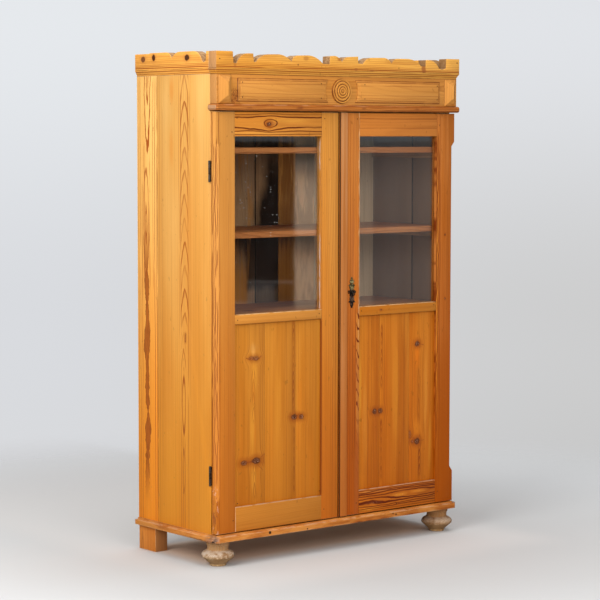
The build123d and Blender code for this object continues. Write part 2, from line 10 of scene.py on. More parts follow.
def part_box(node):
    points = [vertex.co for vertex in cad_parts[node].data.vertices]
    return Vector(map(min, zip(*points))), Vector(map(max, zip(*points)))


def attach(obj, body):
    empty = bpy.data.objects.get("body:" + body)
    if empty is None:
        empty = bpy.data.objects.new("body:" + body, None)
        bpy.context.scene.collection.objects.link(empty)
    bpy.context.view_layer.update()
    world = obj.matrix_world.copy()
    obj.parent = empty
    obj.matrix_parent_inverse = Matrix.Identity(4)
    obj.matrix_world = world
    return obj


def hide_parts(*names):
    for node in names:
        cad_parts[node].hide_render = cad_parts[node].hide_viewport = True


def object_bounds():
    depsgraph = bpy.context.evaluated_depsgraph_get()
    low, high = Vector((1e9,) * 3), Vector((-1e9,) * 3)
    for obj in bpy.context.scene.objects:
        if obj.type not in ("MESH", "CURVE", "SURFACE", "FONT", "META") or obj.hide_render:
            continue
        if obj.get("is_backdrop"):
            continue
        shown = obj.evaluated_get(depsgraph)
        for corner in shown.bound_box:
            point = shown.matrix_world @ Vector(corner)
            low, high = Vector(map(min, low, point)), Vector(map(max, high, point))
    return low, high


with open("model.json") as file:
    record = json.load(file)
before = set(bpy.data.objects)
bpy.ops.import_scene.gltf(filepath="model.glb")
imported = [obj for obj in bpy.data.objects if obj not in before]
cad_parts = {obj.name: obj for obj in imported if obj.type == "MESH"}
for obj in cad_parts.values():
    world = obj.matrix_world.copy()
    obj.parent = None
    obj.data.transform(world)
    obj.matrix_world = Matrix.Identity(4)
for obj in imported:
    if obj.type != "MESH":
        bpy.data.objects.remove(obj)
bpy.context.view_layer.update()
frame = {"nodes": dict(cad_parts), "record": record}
NODES = frame["nodes"]
BODY_OF = {n: b for b, ns in frame["record"]["behaviour"]["bodies"].items() for n in ns}
YC = 211.5


def mm(x, y, z):
    """Working millimetres (doors' front face at y = 0) to metres in the row frame."""
    return Vector((x / 1000.0, (y - YC) / 1000.0, z / 1000.0))


# =====================================================================
# shader helpers
# =====================================================================
class Val:
    def __init__(self, g, s):
        self.g, self.s = g, s

    def __add__(self, o):
        return self.g.math("ADD", self, o)

    __radd__ = __add__

    def __sub__(self, o):
        return self.g.math("SUBTRACT", self, o)

    def __rsub__(self, o):
        return self.g.math("SUBTRACT", o, self)

    def __mul__(self, o):
        return self.g.math("MULTIPLY", self, o)

    __rmul__ = __mul__

    def __truediv__(self, o):
        return self.g.math("DIVIDE", self, o)


class Graph:
    def __init__(self, tree):
        self.t = tree

    def node(self, kind, **props):
        n = self.t.nodes.new(kind)
        for k, v in props.items():
            setattr(n, k, v)
        return n

    def put(self, sock, v):
        if isinstance(v, Val):
            self.t.links.new(v.s, sock)
        elif hasattr(v, "__len__") and sock.type == "RGBA" and len(v) == 3:
            sock.default_value = (*v, 1.0)
        else:
            sock.default_value = v

    def math(self, op, a, b=None, c=None, clamp=False):
        n = self.node("ShaderNodeMath", operation=op, use_clamp=clamp)
        self.put(n.inputs[0], a)
        if b is not None:
            self.put(n.inputs[1], b)
        if c is not None:
            self.put(n.inputs[2], c)
        return Val(self, n.outputs[0])

    def xyz(self):
        tc = self.node("ShaderNodeTexCoord")
        sp = self.node("ShaderNodeSeparateXYZ")
        self.t.links.new(tc.outputs["Object"], sp.inputs[0])
        return [Val(self, sp.outputs[i]) for i in range(3)]

    def vec(self, x, y, z):
        n = self.node("ShaderNodeCombineXYZ")
        for i, v in enumerate((x, y, z)):
            self.put(n.inputs[i], v)
        return Val(self, n.outputs[0])

    def noise(self, v, scale=1.0, detail=2.0, rough=0.5, dist=0.0):
        n = self.node("ShaderNodeTexNoise", noise_dimensions="3D")
        self.put(n.inputs["Vector"], v)
        n.inputs["Scale"].default_value = scale
        n.inputs["Detail"].default_value = detail
        n.inputs["Roughness"].default_value = rough
        n.inputs["Distortion"].default_value = dist
        return Val(self, n.outputs[0])

    def white(self, w):
        n = self.node("ShaderNodeTexWhiteNoise", noise_dimensions="1D")
        self.put(n.inputs["W"], w)
        return Val(self, n.outputs["Value"])

    def smooth(self, x, a, b):
        n = self.node("ShaderNodeMapRange", interpolation_type="SMOOTHSTEP")
        self.put(n.inputs["Value"], x)
        n.inputs["From Min"].default_value = a
        n.inputs["From Max"].default_value = b
        return Val(self, n.outputs["Result"])

    def sqrt(self, x):
        return self.math("SQRT", x)

    def exp(self, x):
        return self.math("EXPONENT", x)

    def abs(self, x):
        return self.math("ABSOLUTE", x)

    def mix(self, f, a, b, blend="MIX"):
        n = self.node("ShaderNodeMix", data_type="RGBA", blend_type=blend)
        self.put(n.inputs[0], f)
        self.put(n.inputs[6], a)
        self.put(n.inputs[7], b)
        return Val(self, n.outputs[2])

    def bump(self, h, strength, distance):
        n = self.node("ShaderNodeBump")
        n.inputs["Strength"].default_value = strength
        n.inputs["Distance"].default_value = distance
        self.put(n.inputs["Height"], h)
        return Val(self, n.outputs[0])


def new_material(name):
    m = bpy.data.materials.new(name)
    m.use_nodes = True
    m.node_tree.nodes.clear()
    return m, Graph(m.node_tree)


def principled(g, color, rough, normal=None, **fixed):
    p = g.node("ShaderNodeBsdfPrincipled")
    g.put(p.inputs["Base Color"], color)
    g.put(p.inputs["Roughness"], rough)
    if normal is not None:
        g.put(p.inputs["Normal"], normal)
    for k, v in fixed.items():
        p.inputs[k.replace("_", " ")].default_value = v
    out = g.node("ShaderNodeOutputMaterial")
    g.t.links.new(p.outputs[0], out.inputs[0])
    return p


# =====================================================================
# pine
# =====================================================================
TONES = {
    # pale, deep, latewood line
    "side": ((0.790, 0.450, 0.136), (0.715, 0.350, 0.078), (0.34, 0.075, 0.009)),
    "rear": ((0.890, 0.520, 0.155), (0.800, 0.390, 0.088), (0.36, 0.080, 0.010)),
    "stile_l": ((0.595, 0.270, 0.060), (0.515, 0.200, 0.031), (0.17, 0.028, 0.004)),
    "door_l": ((0.645, 0.284, 0.054), (0.550, 0.208, 0.026), (0.20, 0.038, 0.005)),
    "rail_l": ((0.560, 0.258, 0.048), (0.470, 0.185, 0.024), (0.22, 0.050, 0.006)),
    "rail_t": ((0.680, 0.262, 0.038), (0.560, 0.192, 0.020), (0.13, 0.022, 0.003)),
    "panel_l": ((0.585, 0.272, 0.043), (0.500, 0.198, 0.021), (0.22, 0.045, 0.005)),
    "door_r": ((0.570, 0.196, 0.034), (0.470, 0.134, 0.012), (0.20, 0.034, 0.004)),
    "stile_r": ((0.545, 0.208, 0.056), (0.410, 0.116, 0.013), (0.17, 0.028, 0.003)),
    "panel_r": ((0.570, 0.222, 0.025), (0.450, 0.138, 0.0075), (0.22, 0.040, 0.004)),
    "strip": ((0.555, 0.255, 0.096), (0.450, 0.160, 0.034), (0.26, 0.062, 0.010)),
    "crest": ((0.785, 0.400, 0.078), (0.670, 0.282, 0.037), (0.28, 0.058, 0.006)),
    "crest_s": ((0.890, 0.435, 0.094), (0.790, 0.330, 0.048), (0.34, 0.072, 0.008)),
    "frieze": ((0.630, 0.280, 0.060), (0.535, 0.204, 0.031), (0.24, 0.050, 0.007)),
    "base": ((0.560, 0.195, 0.036), (0.420, 0.120, 0.013), (0.16, 0.030, 0.005)),
    "foot": ((0.640, 0.225, 0.036), (0.480, 0.135, 0.014), (0.20, 0.036, 0.005)),
    "figured": ((0.520, 0.142, 0.009), (0.390, 0.086, 0.004), (0.12, 0.016, 0.002)),
    "inside": ((0.47, 0.285, 0.150), (0.34, 0.185, 0.088), (0.14, 0.065, 0.028)),
    "inside_pale": ((0.62, 0.430, 0.265), (0.50, 0.330, 0.190), (0.24, 0.130, 0.065)),
    "inside_warm": ((0.60, 0.270, 0.062), (0.40, 0.155, 0.028), (0.12, 0.035, 0.008)),
    "shelf": ((0.66, 0.270, 0.095), (0.50, 0.170, 0.048), (0.20, 0.052, 0.012)),
}

BASE = dict(seed=1.0, bold=1.6, sp=0.0075, pa=0.0, pt=-0.05, slope=-0.03, wa=0.02, wt=0.02, wave=0.006, gain=0.45, streak=0.35,
            tmix=1.0, low=0.35, tsa=8.0, knots=(), bars=(), flares=(), chains=(), strands=(), loops=(), mask=None, wrap=None, steady=False, edge=0.0,
            edge_w=0.004, dirt=0.0, dw=0.0016, rough=0.46, coat=0.02, end=(0.56, 0.34, 0.18), bump=0.22, fine=0.10,
            spec=0.15)


def pine_material(name, tone, order, lo, hi, extra=None, **over):
    """Solid sawn pine.  order names the axes that run along, across and through the board; the growth rings are
    shells round a wandering pith line, so faces, edges and ends all show the cut that they really would."""
    P = dict(BASE)
    P.update(over)
    pale, deep, line_c = TONES[tone]
    m, g = new_material(name)
    xyz = g.xyz()
    idx = ["xyz".index(c) for c in order]
    mid = [(lo[i] + hi[i]) / 2 for i in range(3)]
    half = [(hi[i] - lo[i]) / 2 for i in range(3)]
    L, A, T = (xyz[i] - mid[i] for i in idx)
    hl, ha, ht = (half[i] for i in idx)
    sd = P["seed"]
    A0 = A
    # grain swerves round each knot
    knot_terms = []
    for (ka, kl, ra, rl, dark) in P["knots"]:
        da = (A0 - ka) / ra
        dl = (L - kl) / rl
        d2 = da * da + dl * dl
        knot_terms.append((g.sqrt(d2), dark, ka + kl))
        A = A - (A0 - ka) * g.exp(d2 * -0.16) * 0.72
    w1 = g.noise(g.vec(sd * 1.7, 3.1, L * 1.3 + sd), detail=2)
    w2 = g.noise(g.vec(5.3, sd * 2.3, L * 1.0 - sd), detail=2)
    da = A - (w1 - 0.5) * P["wa"] * 2 - P["pa"]
    dt = T - L * P["slope"] - (w2 - 0.5) * P["wt"] * 2 - P["pt"]
    r = g.sqrt(da * da + dt * dt)
    r = r + (g.noise(g.vec(A * 16, T * 16, L * 2.6 + sd), detail=2) - 0.5) * P["wave"]
    r = r + (g.noise(g.vec(A * 60, T * 60, L * 8 + sd), detail=1) - 0.5) * 0.0011
    ph = r / P["sp"] + (g.noise(g.vec(r * 30, sd, 0.0), detail=1) - 0.5) * 3.0
    fr = g.math("FRACT", ph)
    st = g.white(g.math("FLOOR", ph) + sd)
    soft = g.smooth(fr, 0.10, 0.74) * (1.0 - g.smooth(fr, 0.84, 0.98)) * 0.40
    line = (soft + g.smooth(fr, 0.56, 0.80) * (1.0 - g.smooth(fr, 0.83, 0.93)) * 0.85) * (st * 0.70 + 0.30)
    mask = 1.0 if P["mask"] is None else P["mask"](g, A0, T, L, xyz, A - P["pa"] - (w1 - 0.5) * P["wa"] * 2)
    tone_n = g.smooth(g.noise(g.vec(A * P["tsa"] + sd, T * 8, L * 0.9), detail=3, rough=0.55), 0.32, 0.68)
    streak = g.noise(g.vec(A * 95 + sd, T * 95, L * 1.3), detail=3, rough=0.6)
    fibre = g.noise(g.vec(A * 620, T * 620, L * 16 + sd), detail=2, rough=0.6)
    col = g.mix(tone_n * P["tmix"], pale, deep)
    col = g.mix(g.smooth(streak, 0.46, 0.76) * P["streak"], col, tuple(c * 0.72 for c in deep))
    col = g.mix(g.smooth(streak, 0.50, 0.26) * P["streak"] * 0.6, col, tuple(min(1, c * 1.12) for c in pale))
    col = g.mix(line * mask * P["gain"] if not isinstance(mask, float) else line * P["gain"], col, line_c)
    col = g.mix((fibre - 0.36) * (P["fine"] * 3.0), col, tuple(c * 0.55 for c in deep))
    # deeper, redder towards the floor
    if P["low"]:
        col = g.mix((1.0 - g.smooth(xyz[2], 0.15, 1.60)) * P["low"], col, (0.955, 0.60, 0.10), "MULTIPLY")
    rough_v = fibre * 0.12 + line * 0.08 + (P["rough"] - 0.08)
    height = fibre * 0.5 - line * 0.35
    for (fa, fl, ra, rl, fc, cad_) in P["flares"]:
        du, dv = (A0 - fa) / ra, (L - fl) / rl
        n = g.noise(g.vec(A0 * 90, fa * 50, L * 9 + fl * 30), detail=3, rough=0.6)
        col = g.mix((1.0 - g.smooth(g.sqrt(du * du + dv * dv) + (n - 0.5) * 1.1, 0.15, 1.15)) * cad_, col, fc)
    for (sa, amp, freq, width, sk, z0, z1) in P["strands"]:
        width = width * P["bold"]
        # on a board whose side shows as well, lines are counted on round the corner
        AS = A if P["wrap"] is None else A - (xyz[1] - P["wrap"])
        n = g.noise(g.vec(sa * 900 + sd, 1.0, L * freq), detail=3, rough=0.55)
        d = g.abs(AS - (n - 0.5) * amp - sa)
        gate = g.smooth(g.noise(g.vec(sa * 300, 7.0, L * 5 + sd), detail=2), 0.30, 0.46)
        if P["steady"]:
            gate = gate * 0.35 + 0.65
        k = (1.0 - g.smooth(d, width * 0.35, width)) * gate * sk
        if z0 is not None:
            k = k * g.smooth(xyz[2], z0 - 0.02, z0 + 0.02) * g.smooth(xyz[2], z1 + 0.02, z1 - 0.02)
        col = g.mix(k, col, line_c)
        height = height - k * 0.3
    for (ca, cz0, cz1, per, hw, w_, ck, cph, drift) in P["chains"]:
        w_ = w_ * P["bold"]
        cn = g.noise(g.vec(3.0, ca * 40 + sd, xyz[2] * 4.5), detail=2)
        u = (A0 - ca - (cn - 0.5) * drift) / hw
        n2 = g.noise(g.vec(A0 * 60, 2.0, xyz[2] * 22 + sd), detail=2)
        ph2 = (xyz[2] + (n2 - 0.5) * per * 0.50 - cph) / per + g.math("POWER", g.abs(u), 1.5)
        ring = g.math("FRACT", ph2)
        near = 0.5 - g.abs(ring - 0.5)
        grad = g.sqrt(g.abs(u) * (2.25 / (hw * hw)) + (1.0 / (per * per)))
        dist = near / grad
        rand = g.white(g.math("FLOOR", ph2 + 0.5) + sd * 3.0) * 0.6 + 0.4
        gate = (1.0 - g.smooth(g.abs(u), 0.90, 1.18)) * g.smooth(xyz[2], cz0 - 0.015, cz0 + 0.015) \
            * g.smooth(xyz[2], cz1 + 0.015, cz1 - 0.015)
        fill = g.smooth(ring, 0.70, 1.0) * (1.0 - g.smooth(g.abs(u), 0.25, 0.7)) * 0.80
        k = g.math("MAXIMUM", 1.0 - g.smooth(dist, w_ * 0.35, w_), fill) * rand * gate * ck
        col = g.mix(k, col, line_c)
    for (la, ll, ra, rl, nr, w_, lk) in P["loops"]:
        du, dv = (A0 - la) / ra, (L - ll) / rl
        n = g.noise(g.vec(A0 * 34, la * 60, L * 12 + ll * 20), detail=3, rough=0.55)
        dd = g.sqrt(du * du + dv * dv) + (n - 0.5) * 0.55
        rr = g.math("FRACT", dd * nr)
        k = (1.0 - g.smooth(g.abs(rr - 0.5), w_ * 0.35, w_)) * (1.0 - g.smooth(dd, 0.85, 1.12)) * g.smooth(dd, 0.10, 0.24) * lk
        col = g.mix(k, col, line_c)
    for (a0, l0, a1, l1, bw, bk) in P["bars"]:
        ux, uy = a1 - a0, l1 - l0
        t = g.math("ADD", (A0 - a0) * (ux / (ux * ux + uy * uy)), (L - l0) * (uy / (ux * ux + uy * uy)), clamp=True)
        bx, by_ = A0 - a0 - t * ux, L - l0 - t * uy
        n = g.noise(g.vec(A0 * 220, a0 * 90, L * 220), detail=3)
        d = g.sqrt(bx * bx + by_ * by_) / bw + (n - 0.5) * 1.1
        col = g.mix((1.0 - g.smooth(d, 0.6, 3.0)) * 0.55 * bk, col, (0.40, 0.100, 0.012))
        col = g.mix((1.0 - g.smooth(d, 0.40, 1.05)) * bk, col, g.mix(g.smooth(n, 0.36, 0.60), (0.12, 0.026, 0.005), (0.34, 0.085, 0.016)))
    for d, dark, ks in knot_terms:
        nk = g.noise(g.vec(A0 * 170, ks * 40, L * 150 + ks * 40), detail=3, rough=0.6)
        dn = d + (nk - 0.5) * 1.45
        col = g.mix((1.0 - g.smooth(dn, 0.7, 3.2)) * 0.78 * dark, col, (0.31, 0.065, 0.005))
        rim = g.smooth(dn, 0.50, 0.85) * (1.0 - g.smooth(dn, 0.92, 1.25)) * g.smooth(nk, 0.34, 0.50)
        core = 1.0 - g.smooth(dn, 0.65, 1.25)
        rings = g.smooth(g.noise(g.vec(A0 * 420, ks * 70, L * 420), detail=2), 0.38, 0.60)
        kc = g.mix(rings, (0.125, 0.028, 0.007), (0.038, 0.010, 0.003))
        shine = g.smooth(g.noise(g.vec(A0 * 260 + ks * 9, 2.0, L * 260), detail=1), 0.53, 0.64) * (1.0 - g.smooth(dn, 0.45, 0.85))
        kc = g.mix(g.smooth(dn, 0.30, 0.80) * 0.85, kc, g.mix(rings, (0.30, 0.105, 0.040), (0.17, 0.048, 0.014)))
        kc = g.mix(shine * 0.75, kc, (0.46, 0.285, 0.200))
        col = g.mix(core * (0.20 + 0.74 * dark), col, kc)
        col = g.mix(rim * 0.75 * dark, col, (0.045, 0.011, 0.003))
        height = height - core * 0.4
    # end grain
    ends = g.smooth(g.abs(L), hl - 0.0016, hl - 0.0006)
    rings = g.mix(line * 0.5, P["end"], tuple(c * 0.55 for c in P["end"]))
    col = g.mix(ends * (0.9 if P["end"] else 0.0), col, rings)
    # worn arrises, and dark arrises with dirt and painted shade at edges and joints: the second smallest distance to
    # the box's faces
    if P["edge"] or P["dirt"]:
        ea, et, el = ha - g.abs(A0), ht - g.abs(T), hl - g.abs(L)
        lo2, hi2 = g.math("MINIMUM", ea, et), g.math("MAXIMUM", ea, et)
        second = g.math("MAXIMUM", lo2, g.math("MINIMUM", hi2, el))
        en = g.noise(g.vec(xyz[0] * 45, xyz[1] * 45, xyz[2] * 45), detail=3, rough=0.65)
        if P["edge"]:
            k = g.smooth(second + (en - 0.5) * P["edge_w"] * 2.2, P["edge_w"] * 0.75, P["edge_w"] * 0.1)
            col = g.mix(k * P["edge"], col, (0.72, 0.46, 0.24))
            rough_v = rough_v + k * 0.12
        if P["dirt"]:
            # dirt and painted shade darken the arrises and the joints between boards
            k = g.smooth(second + (en - 0.5) * P["dw"] * 1.6, P["dw"] * 1.25, P["dw"] * 0.35)
            col = g.mix(k * P["dirt"], col, (0.115, 0.034, 0.008))
    # small bruises and pale scratches
    spots = g.noise(g.vec(xyz[0] * 70 + sd, xyz[1] * 70, xyz[2] * 38), detail=2)
    col = g.mix(g.smooth(spots, 0.68, 0.75) * 0.42, col, tuple(c * 0.45 for c in deep))
    nicks = g.noise(g.vec(A * 420 + sd, T * 420, L * 75), detail=1)
    col = g.mix(g.smooth(nicks, 0.775, 0.83) * 0.40, col, tuple(min(1.0, c * 1.25 + 0.06) for c in pale))
    if extra is not None:
        col, rough_v = extra(g, A0, T, L, xyz, col, rough_v)
    principled(g, col, rough_v, g.bump(height, P["bump"], 0.0007), Coat_Weight=P["coat"], Coat_Roughness=0.25,
               Specular_IOR_Level=P["spec"])
    return m


# =====================================================================
# mesh helpers
# =====================================================================
def finish_mesh(bm, name, mats, body, angle=38.0, smooth=True):
    bmesh.ops.recalc_face_normals(bm, faces=bm.faces)
    me = bpy.data.meshes.new(name)
    bm.to_mesh(me)
    bm.free()
    if smooth:
        me.shade_smooth()
        me.set_sharp_from_angle(angle=math.radians(angle))
    o = bpy.data.objects.new(name, me)
    bpy.context.scene.collection.objects.link(o)
    for m in (mats if isinstance(mats, (list, tuple)) else [mats]):
        me.materials.append(m)
    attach(o, body)
    return o


def solid_mesh(node, inside=None, bevel=0.0010, seg=2):
    """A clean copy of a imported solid, or of the boards of it that `inside` picks, with eased arrises."""
    bm = bmesh.new()
    bm.from_mesh(NODES[node].data)
    if inside is not None:
        drop = []
        for f in bm.faces:
            f.normal_update()
            p = f.calc_center_median() - f.normal * 0.0002
            if not inside(p):
                drop.append(f)
        bmesh.ops.delete(bm, geom=drop, context="FACES")
    bmesh.ops.remove_doubles(bm, verts=bm.verts, dist=3e-6)
    bmesh.ops.dissolve_limit(bm, angle_limit=math.radians(0.8), use_dissolve_boundaries=False, verts=bm.verts,
                             edges=bm.edges)
    if bevel:
        edges = [e for e in bm.edges if len(e.link_faces) == 2 and e.calc_face_angle(0.0) > math.radians(33)]
        bmesh.ops.bevel(bm, geom=edges, offset=bevel, offset_type="OFFSET", segments=seg, profile=0.5,
                        affect="EDGES", clamp_overlap=True)
    return bm


def wood(node, tone, order, bevel=0.0010, boards=None, axis="x", extra=None, seg=2, **over):
    """Replaces a CAD board, or each board of a group, by an eased copy with its own pine."""
    body = BODY_OF[node]
    made = []
    if boards is None:
        lo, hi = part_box(node)
        mat = pine_material("pine_" + node, tone, order, lo, hi, extra=extra, **over)
        made.append(finish_mesh(solid_mesh(node, None, bevel, seg), node + "_timber", mat, body))
    else:
        ax = "xyz".index(axis)
        lo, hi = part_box(node)
        for i in range(len(boards) - 1):
            a, b = boards[i], boards[i + 1]
            own = dict(over)
            own.update((over.get("per") or {}).get(i, {}))
            own.pop("per", None)
            t = own.pop("tone_name", tone)
            ex = own.pop("extra", extra)
            blo, bhi = Vector(lo), Vector(hi)
            blo[ax], bhi[ax] = a, b
            own.setdefault("seed", over.get("seed", 1.0) + 3.7 * i)
            if "seed" in over:
                own["seed"] = own["seed"] + 3.7 * i
            mat = pine_material("pine_%s_%d" % (node, i), t, order, blo, bhi, extra=ex, **own)
            bm = solid_mesh(node, lambda p, a=a, b=b: a <= p[ax] <= b, bevel, seg)
            made.append(finish_mesh(bm, "%s_board_%d" % (node, i), mat, body))
    for o in made:
        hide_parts(node)
    return made


def metal_material(name, base, rough=0.5, metallic=0.85, rust=0.4, scale=1.0, rust_color=(0.10, 0.045, 0.02)):
    m, g = new_material(name)
    x, y, z = g.xyz()
    n1 = g.noise(g.vec(x * 240 * scale, y * 240 * scale, z * 240 * scale), detail=4, rough=0.65)
    n2 = g.noise(g.vec(x * 900, y * 900, z * 900), detail=2)
    k = g.smooth(n1, 0.42, 0.66)
    col = g.mix(k * rust, base, rust_color)
    col = g.mix((n2 - 0.3) * 0.4, col, tuple(c * 0.5 for c in base))
    p = principled(g, col, k * 0.25 + (rough - 0.08), g.bump(n1 * 0.7 + n2 * 0.4, 0.35, 0.0006), Metallic=metallic)
    return m


def lathe(name, profile, origin, axis, mat, body, segs=96, wobble=None, angle=50.0, close=True):
    """Turns a profile of (radius, height) pairs about an axis through origin."""
    axis = Vector(axis).normalized()
    u = axis.orthogonal().normalized()
    v = axis.cross(u)
    bm = bmesh.new()
    rings = []
    for j, (r, h) in enumerate(profile):
        ring = []
        if r < 1e-7:
            ring = [bm.verts.new(origin + axis * h)]
        else:
            for i in range(segs):
                a = 2 * math.pi * i / segs
                rr, hh = (r, h) if wobble is None else wobble(r, h, a, j)
                ring.append(bm.verts.new(origin + axis * hh + (u * math.cos(a) + v * math.sin(a)) * rr))
        rings.append(ring)
    for a, b in zip(rings[:-1], rings[1:]):
        if len(a) == 1 and len(b) == 1:
            continue
        for i in range(segs):
            k = (i + 1) % segs
            if len(a) == 1:
                bm.faces.new((a[0], b[i], b[k]))
            elif len(b) == 1:
                bm.faces.new((a[i], b[0], a[k]))
            else:
                bm.faces.new((a[i], b[i], b[k], a[k]))
    return finish_mesh(bm, name, mat, body, angle)


def smooth_profile(pts, per=6):
    """Catmull-Rom through the profile's points; a doubled point keeps a hard corner."""
    out = []
    n = len(pts)
    for i in range(n - 1):
        p0 = pts[max(i - 1, 0)]
        p1, p2 = pts[i], pts[i + 1]
        p3 = pts[min(i + 2, n - 1)]
        if p1 == p2:
            continue
        for k in range(per):
            t = k / per
            out.append(tuple(0.5 * ((2 * b) + (c - a) * t + (2 * a - 5 * b + 4 * c - d) * t * t
                                    + (3 * b - a - 3 * c + d) * t ** 3) for a, b, c, d in zip(p0, p1, p2, p3)))
    out.append(tuple(pts[-1]))
    return [(max(r, 0.0), h) for r, h in out]


# =====================================================================
# carcass boards
# =====================================================================
def front_column(g, A, T, L, xyz, off):
    near = 1.0 - g.smooth(g.abs(off), 0.016, 0.040)
    return near * 1.45 + 0.16


def side_front_extra(g, A, T, L, xyz, col, rough):
    # soft orange stains
    y, z = xyz[1], xyz[2]
    for (cy, cz, ry, rz, k) in ((0.0294, 1.563, 0.016, 0.055, 0.55), (0.0320, 1.380, 0.013, 0.075, 0.45),
                                (-0.062, 1.10, 0.03, 0.20, 0.22), (0.055, 0.62, 0.03, 0.25, 0.25)):
        dy, dz = (y - cy) / ry, (z - cz) / rz
        n = g.noise(g.vec(y * 60, 0.0, z * 7), detail=2)
        col = g.mix((1.0 - g.smooth(g.sqrt(dy * dy + dz * dz) + (n - 0.5) * 0.9, 0.15, 1.25)) * k, col, (0.70, 0.245, 0.030))
    return col, rough


def rear_extra(g, A, T, L, xyz, col, rough):
    # the dark flame that runs up the lower two thirds of the narrow board
    z = xyz[2]
    n = g.noise(g.vec(4.0, 9.0, z * 9), detail=4, rough=0.65)
    n2 = g.noise(g.vec(A * 260, 3.0, z * 30), detail=2)
    off = g.abs(A - (g.noise(g.vec(2.0, 7.0, z * 3.4), detail=3) - 0.5) * 0.034 - 0.004)
    width = (n - 0.34) * 0.060 + (n2 - 0.5) * 0.004
    span = (1.0 - g.smooth(z, 0.90, 1.22)) * g.smooth(z, 0.14, 0.34)
    k = (1.0 - g.smooth(off - width, -0.0022, 0.0020)) * span
    col = g.mix(k * 0.88, col, g.mix(g.smooth(n2, 0.35, 0.65), (0.38, 0.092, 0.010), (0.24, 0.050, 0.006)))
    edge = (1.0 - g.smooth(g.abs(off - width - 0.0005), 0.0004, 0.0022)) * span
    col = g.mix(edge * 0.9, col, (0.17, 0.032, 0.005))
    return col, rough


def side_low(g, A, T, L, xyz, col, rough):
    k = g.smooth(xyz[2], 1.35, 0.15) * (g.smooth(xyz[1], 0.04, -0.12) * 0.19 + 0.11)
    return g.mix(k, col, (0.39, 0.19, 0.024)), rough


yj_l, yj_r = (325.0 - YC) / 1000, (197.0 - YC) / 1000
y_f, y_r = (28.0 - YC) / 1000, (442.0 - YC) / 1000
yc0, yc1 = (y_f + yj_l) / 2, (yj_l + y_r) / 2


def ya(y, c):
    return (y - YC) / 1000 - c


def seam(v, axis, w=0.0011, k=0.65, color=(0.16, 0.045, 0.008)):
    """Fine dark line along a plane: where two glued boards meet, and on the mid moulding painted shade in its grooves.
    """
    def f(g, A, T, L, xyz, col, rough):
        n = g.noise(g.vec(xyz[0] * 12, xyz[1] * 12, xyz[2] * 12), detail=3)
        d = g.abs(xyz[axis] - v)
        return g.mix((1.0 - g.smooth(d, w * 0.3, w)) * g.smooth(n, 0.28, 0.55) * k, col, color), rough
    return f


def chain(*fs):
    def f(g, A, T, L, xyz, col, rough):
        for h in fs:
            col, rough = h(g, A, T, L, xyz, col, rough)
        return col, rough
    return f


def side_inner(g, A, T, L, xyz, col, rough):
    # the faces inside the cabinet: unwaxed, greyed
    x = g.abs(xyz[0])
    k = g.smooth(x, 0.5072, 0.5062) * g.smooth(xyz[1], (29.5 - YC) / 1000, (31 - YC) / 1000)
    n = g.noise(g.vec(2.0, xyz[1] * 11, xyz[2] * 1.2), detail=2)
    c = g.mix(g.smooth(n, 0.35, 0.65), (0.34, 0.255, 0.190), (0.28, 0.205, 0.150))
    c = g.mix(g.smooth(xyz[0], 0.0, 0.1) * 0.52, c, (0.110, 0.052, 0.022))
    return g.mix(k * 0.92, col, c), rough + k * 0.15


wood("side_boards_left", "side", "zyx", 0.0008, boards=[y_f, yj_l, y_r], axis="y", seed=2.0, gain=0.12, low=0.95, bold=1.9,
     spec=0.20, coat=0.0,
     per={0: dict(sp=0.011, pa=-0.19, pt=0.03, slope=0.004, wa=0.010, wt=0.006, wave=0.0035, streak=0.24, tsa=7.0,
                  chains=((ya(170, yc0), 0.790, 1.640, 0.078, 0.0215, 0.0019, 1.0, 0.048, 0.010),
                          (ya(177, yc0), 0.640, 0.760, 0.060, 0.012, 0.0016, 0.7, 0.045, 0.010)),
                  loops=((ya(176, yc0), 0.520 - 0.8595, 0.0110, 0.110, 0.62, 0.12, 1.0),
                         (ya(178, yc0), 0.300 - 0.8595, 0.0080, 0.085, 0.62, 0.12, 0.7)),
                  bars=((ya(167, yc0), 0.758 - 0.8595, ya(167, yc0), 0.733 - 0.8595, 0.0042, 0.75),),
                  strands=tuple((ya(y, yc0), 0.010, 2.6, w, k, z0, z1) for y, w, k, z0, z1 in
                                ((150, 0.0012, 0.75, 0.10, 1.55), (191, 0.0012, 0.75, 0.10, 1.55), (140, 0.0010, 0.45, 0.55, 1.55),
                                 (201, 0.0010, 0.45, 0.75, 1.60), (171, 0.0012, 0.7, 0.10, 0.40), (183, 0.0012, 0.7, 0.10, 0.42),
                                 (92, 0.0009, 0.35, 0.2, 0.9), (296, 0.0010, 0.4, 0.3, 1.5), (312, 0.0009, 0.4, 0.1, 1.6))),
                  extra=chain(side_front_extra, side_low, side_inner, seam(yj_l, 1, 0.0020, 0.8))),
          1: dict(tone_name="rear", sp=0.018, pa=0.10, pt=0.03, slope=0.004, wa=0.010, wt=0.012, wave=0.008, gain=0.10,
                  streak=0.30, bold=1.5,
                  loops=((ya(381, yc1), 1.600 - 0.8595, 0.0225, 0.285, 2.0, 0.22, 1.0),
                         (ya(391, yc1), 1.120 - 0.8595, 0.0165, 0.190, 1.6, 0.20, 0.9)),
                  strands=tuple((ya(y, yc1), amp, 3.2, w, k, z0, z1) for y, amp, w, k, z0, z1 in
                                             ((330, 0.006, 0.0013, 0.9, 0.1, 1.6), (340, 0.008, 0.0015, 0.95, 0.1, 1.6),
                                              (350, 0.008, 0.0013, 0.8, 0.9, 1.6), (371, 0.016, 0.0014, 0.8, 0.9, 1.33),
                                              (402, 0.018, 0.0015, 0.8, 0.9, 1.38), (414, 0.014, 0.0014, 0.75, 0.1, 1.25),
                                              (424, 0.010, 0.0013, 0.8, 0.1, 1.6), (434, 0.006, 0.0012, 0.7, 0.1, 1.6))),
                  extra=chain(rear_extra, side_inner, seam(yj_l, 1, 0.0020, 0.8)))})
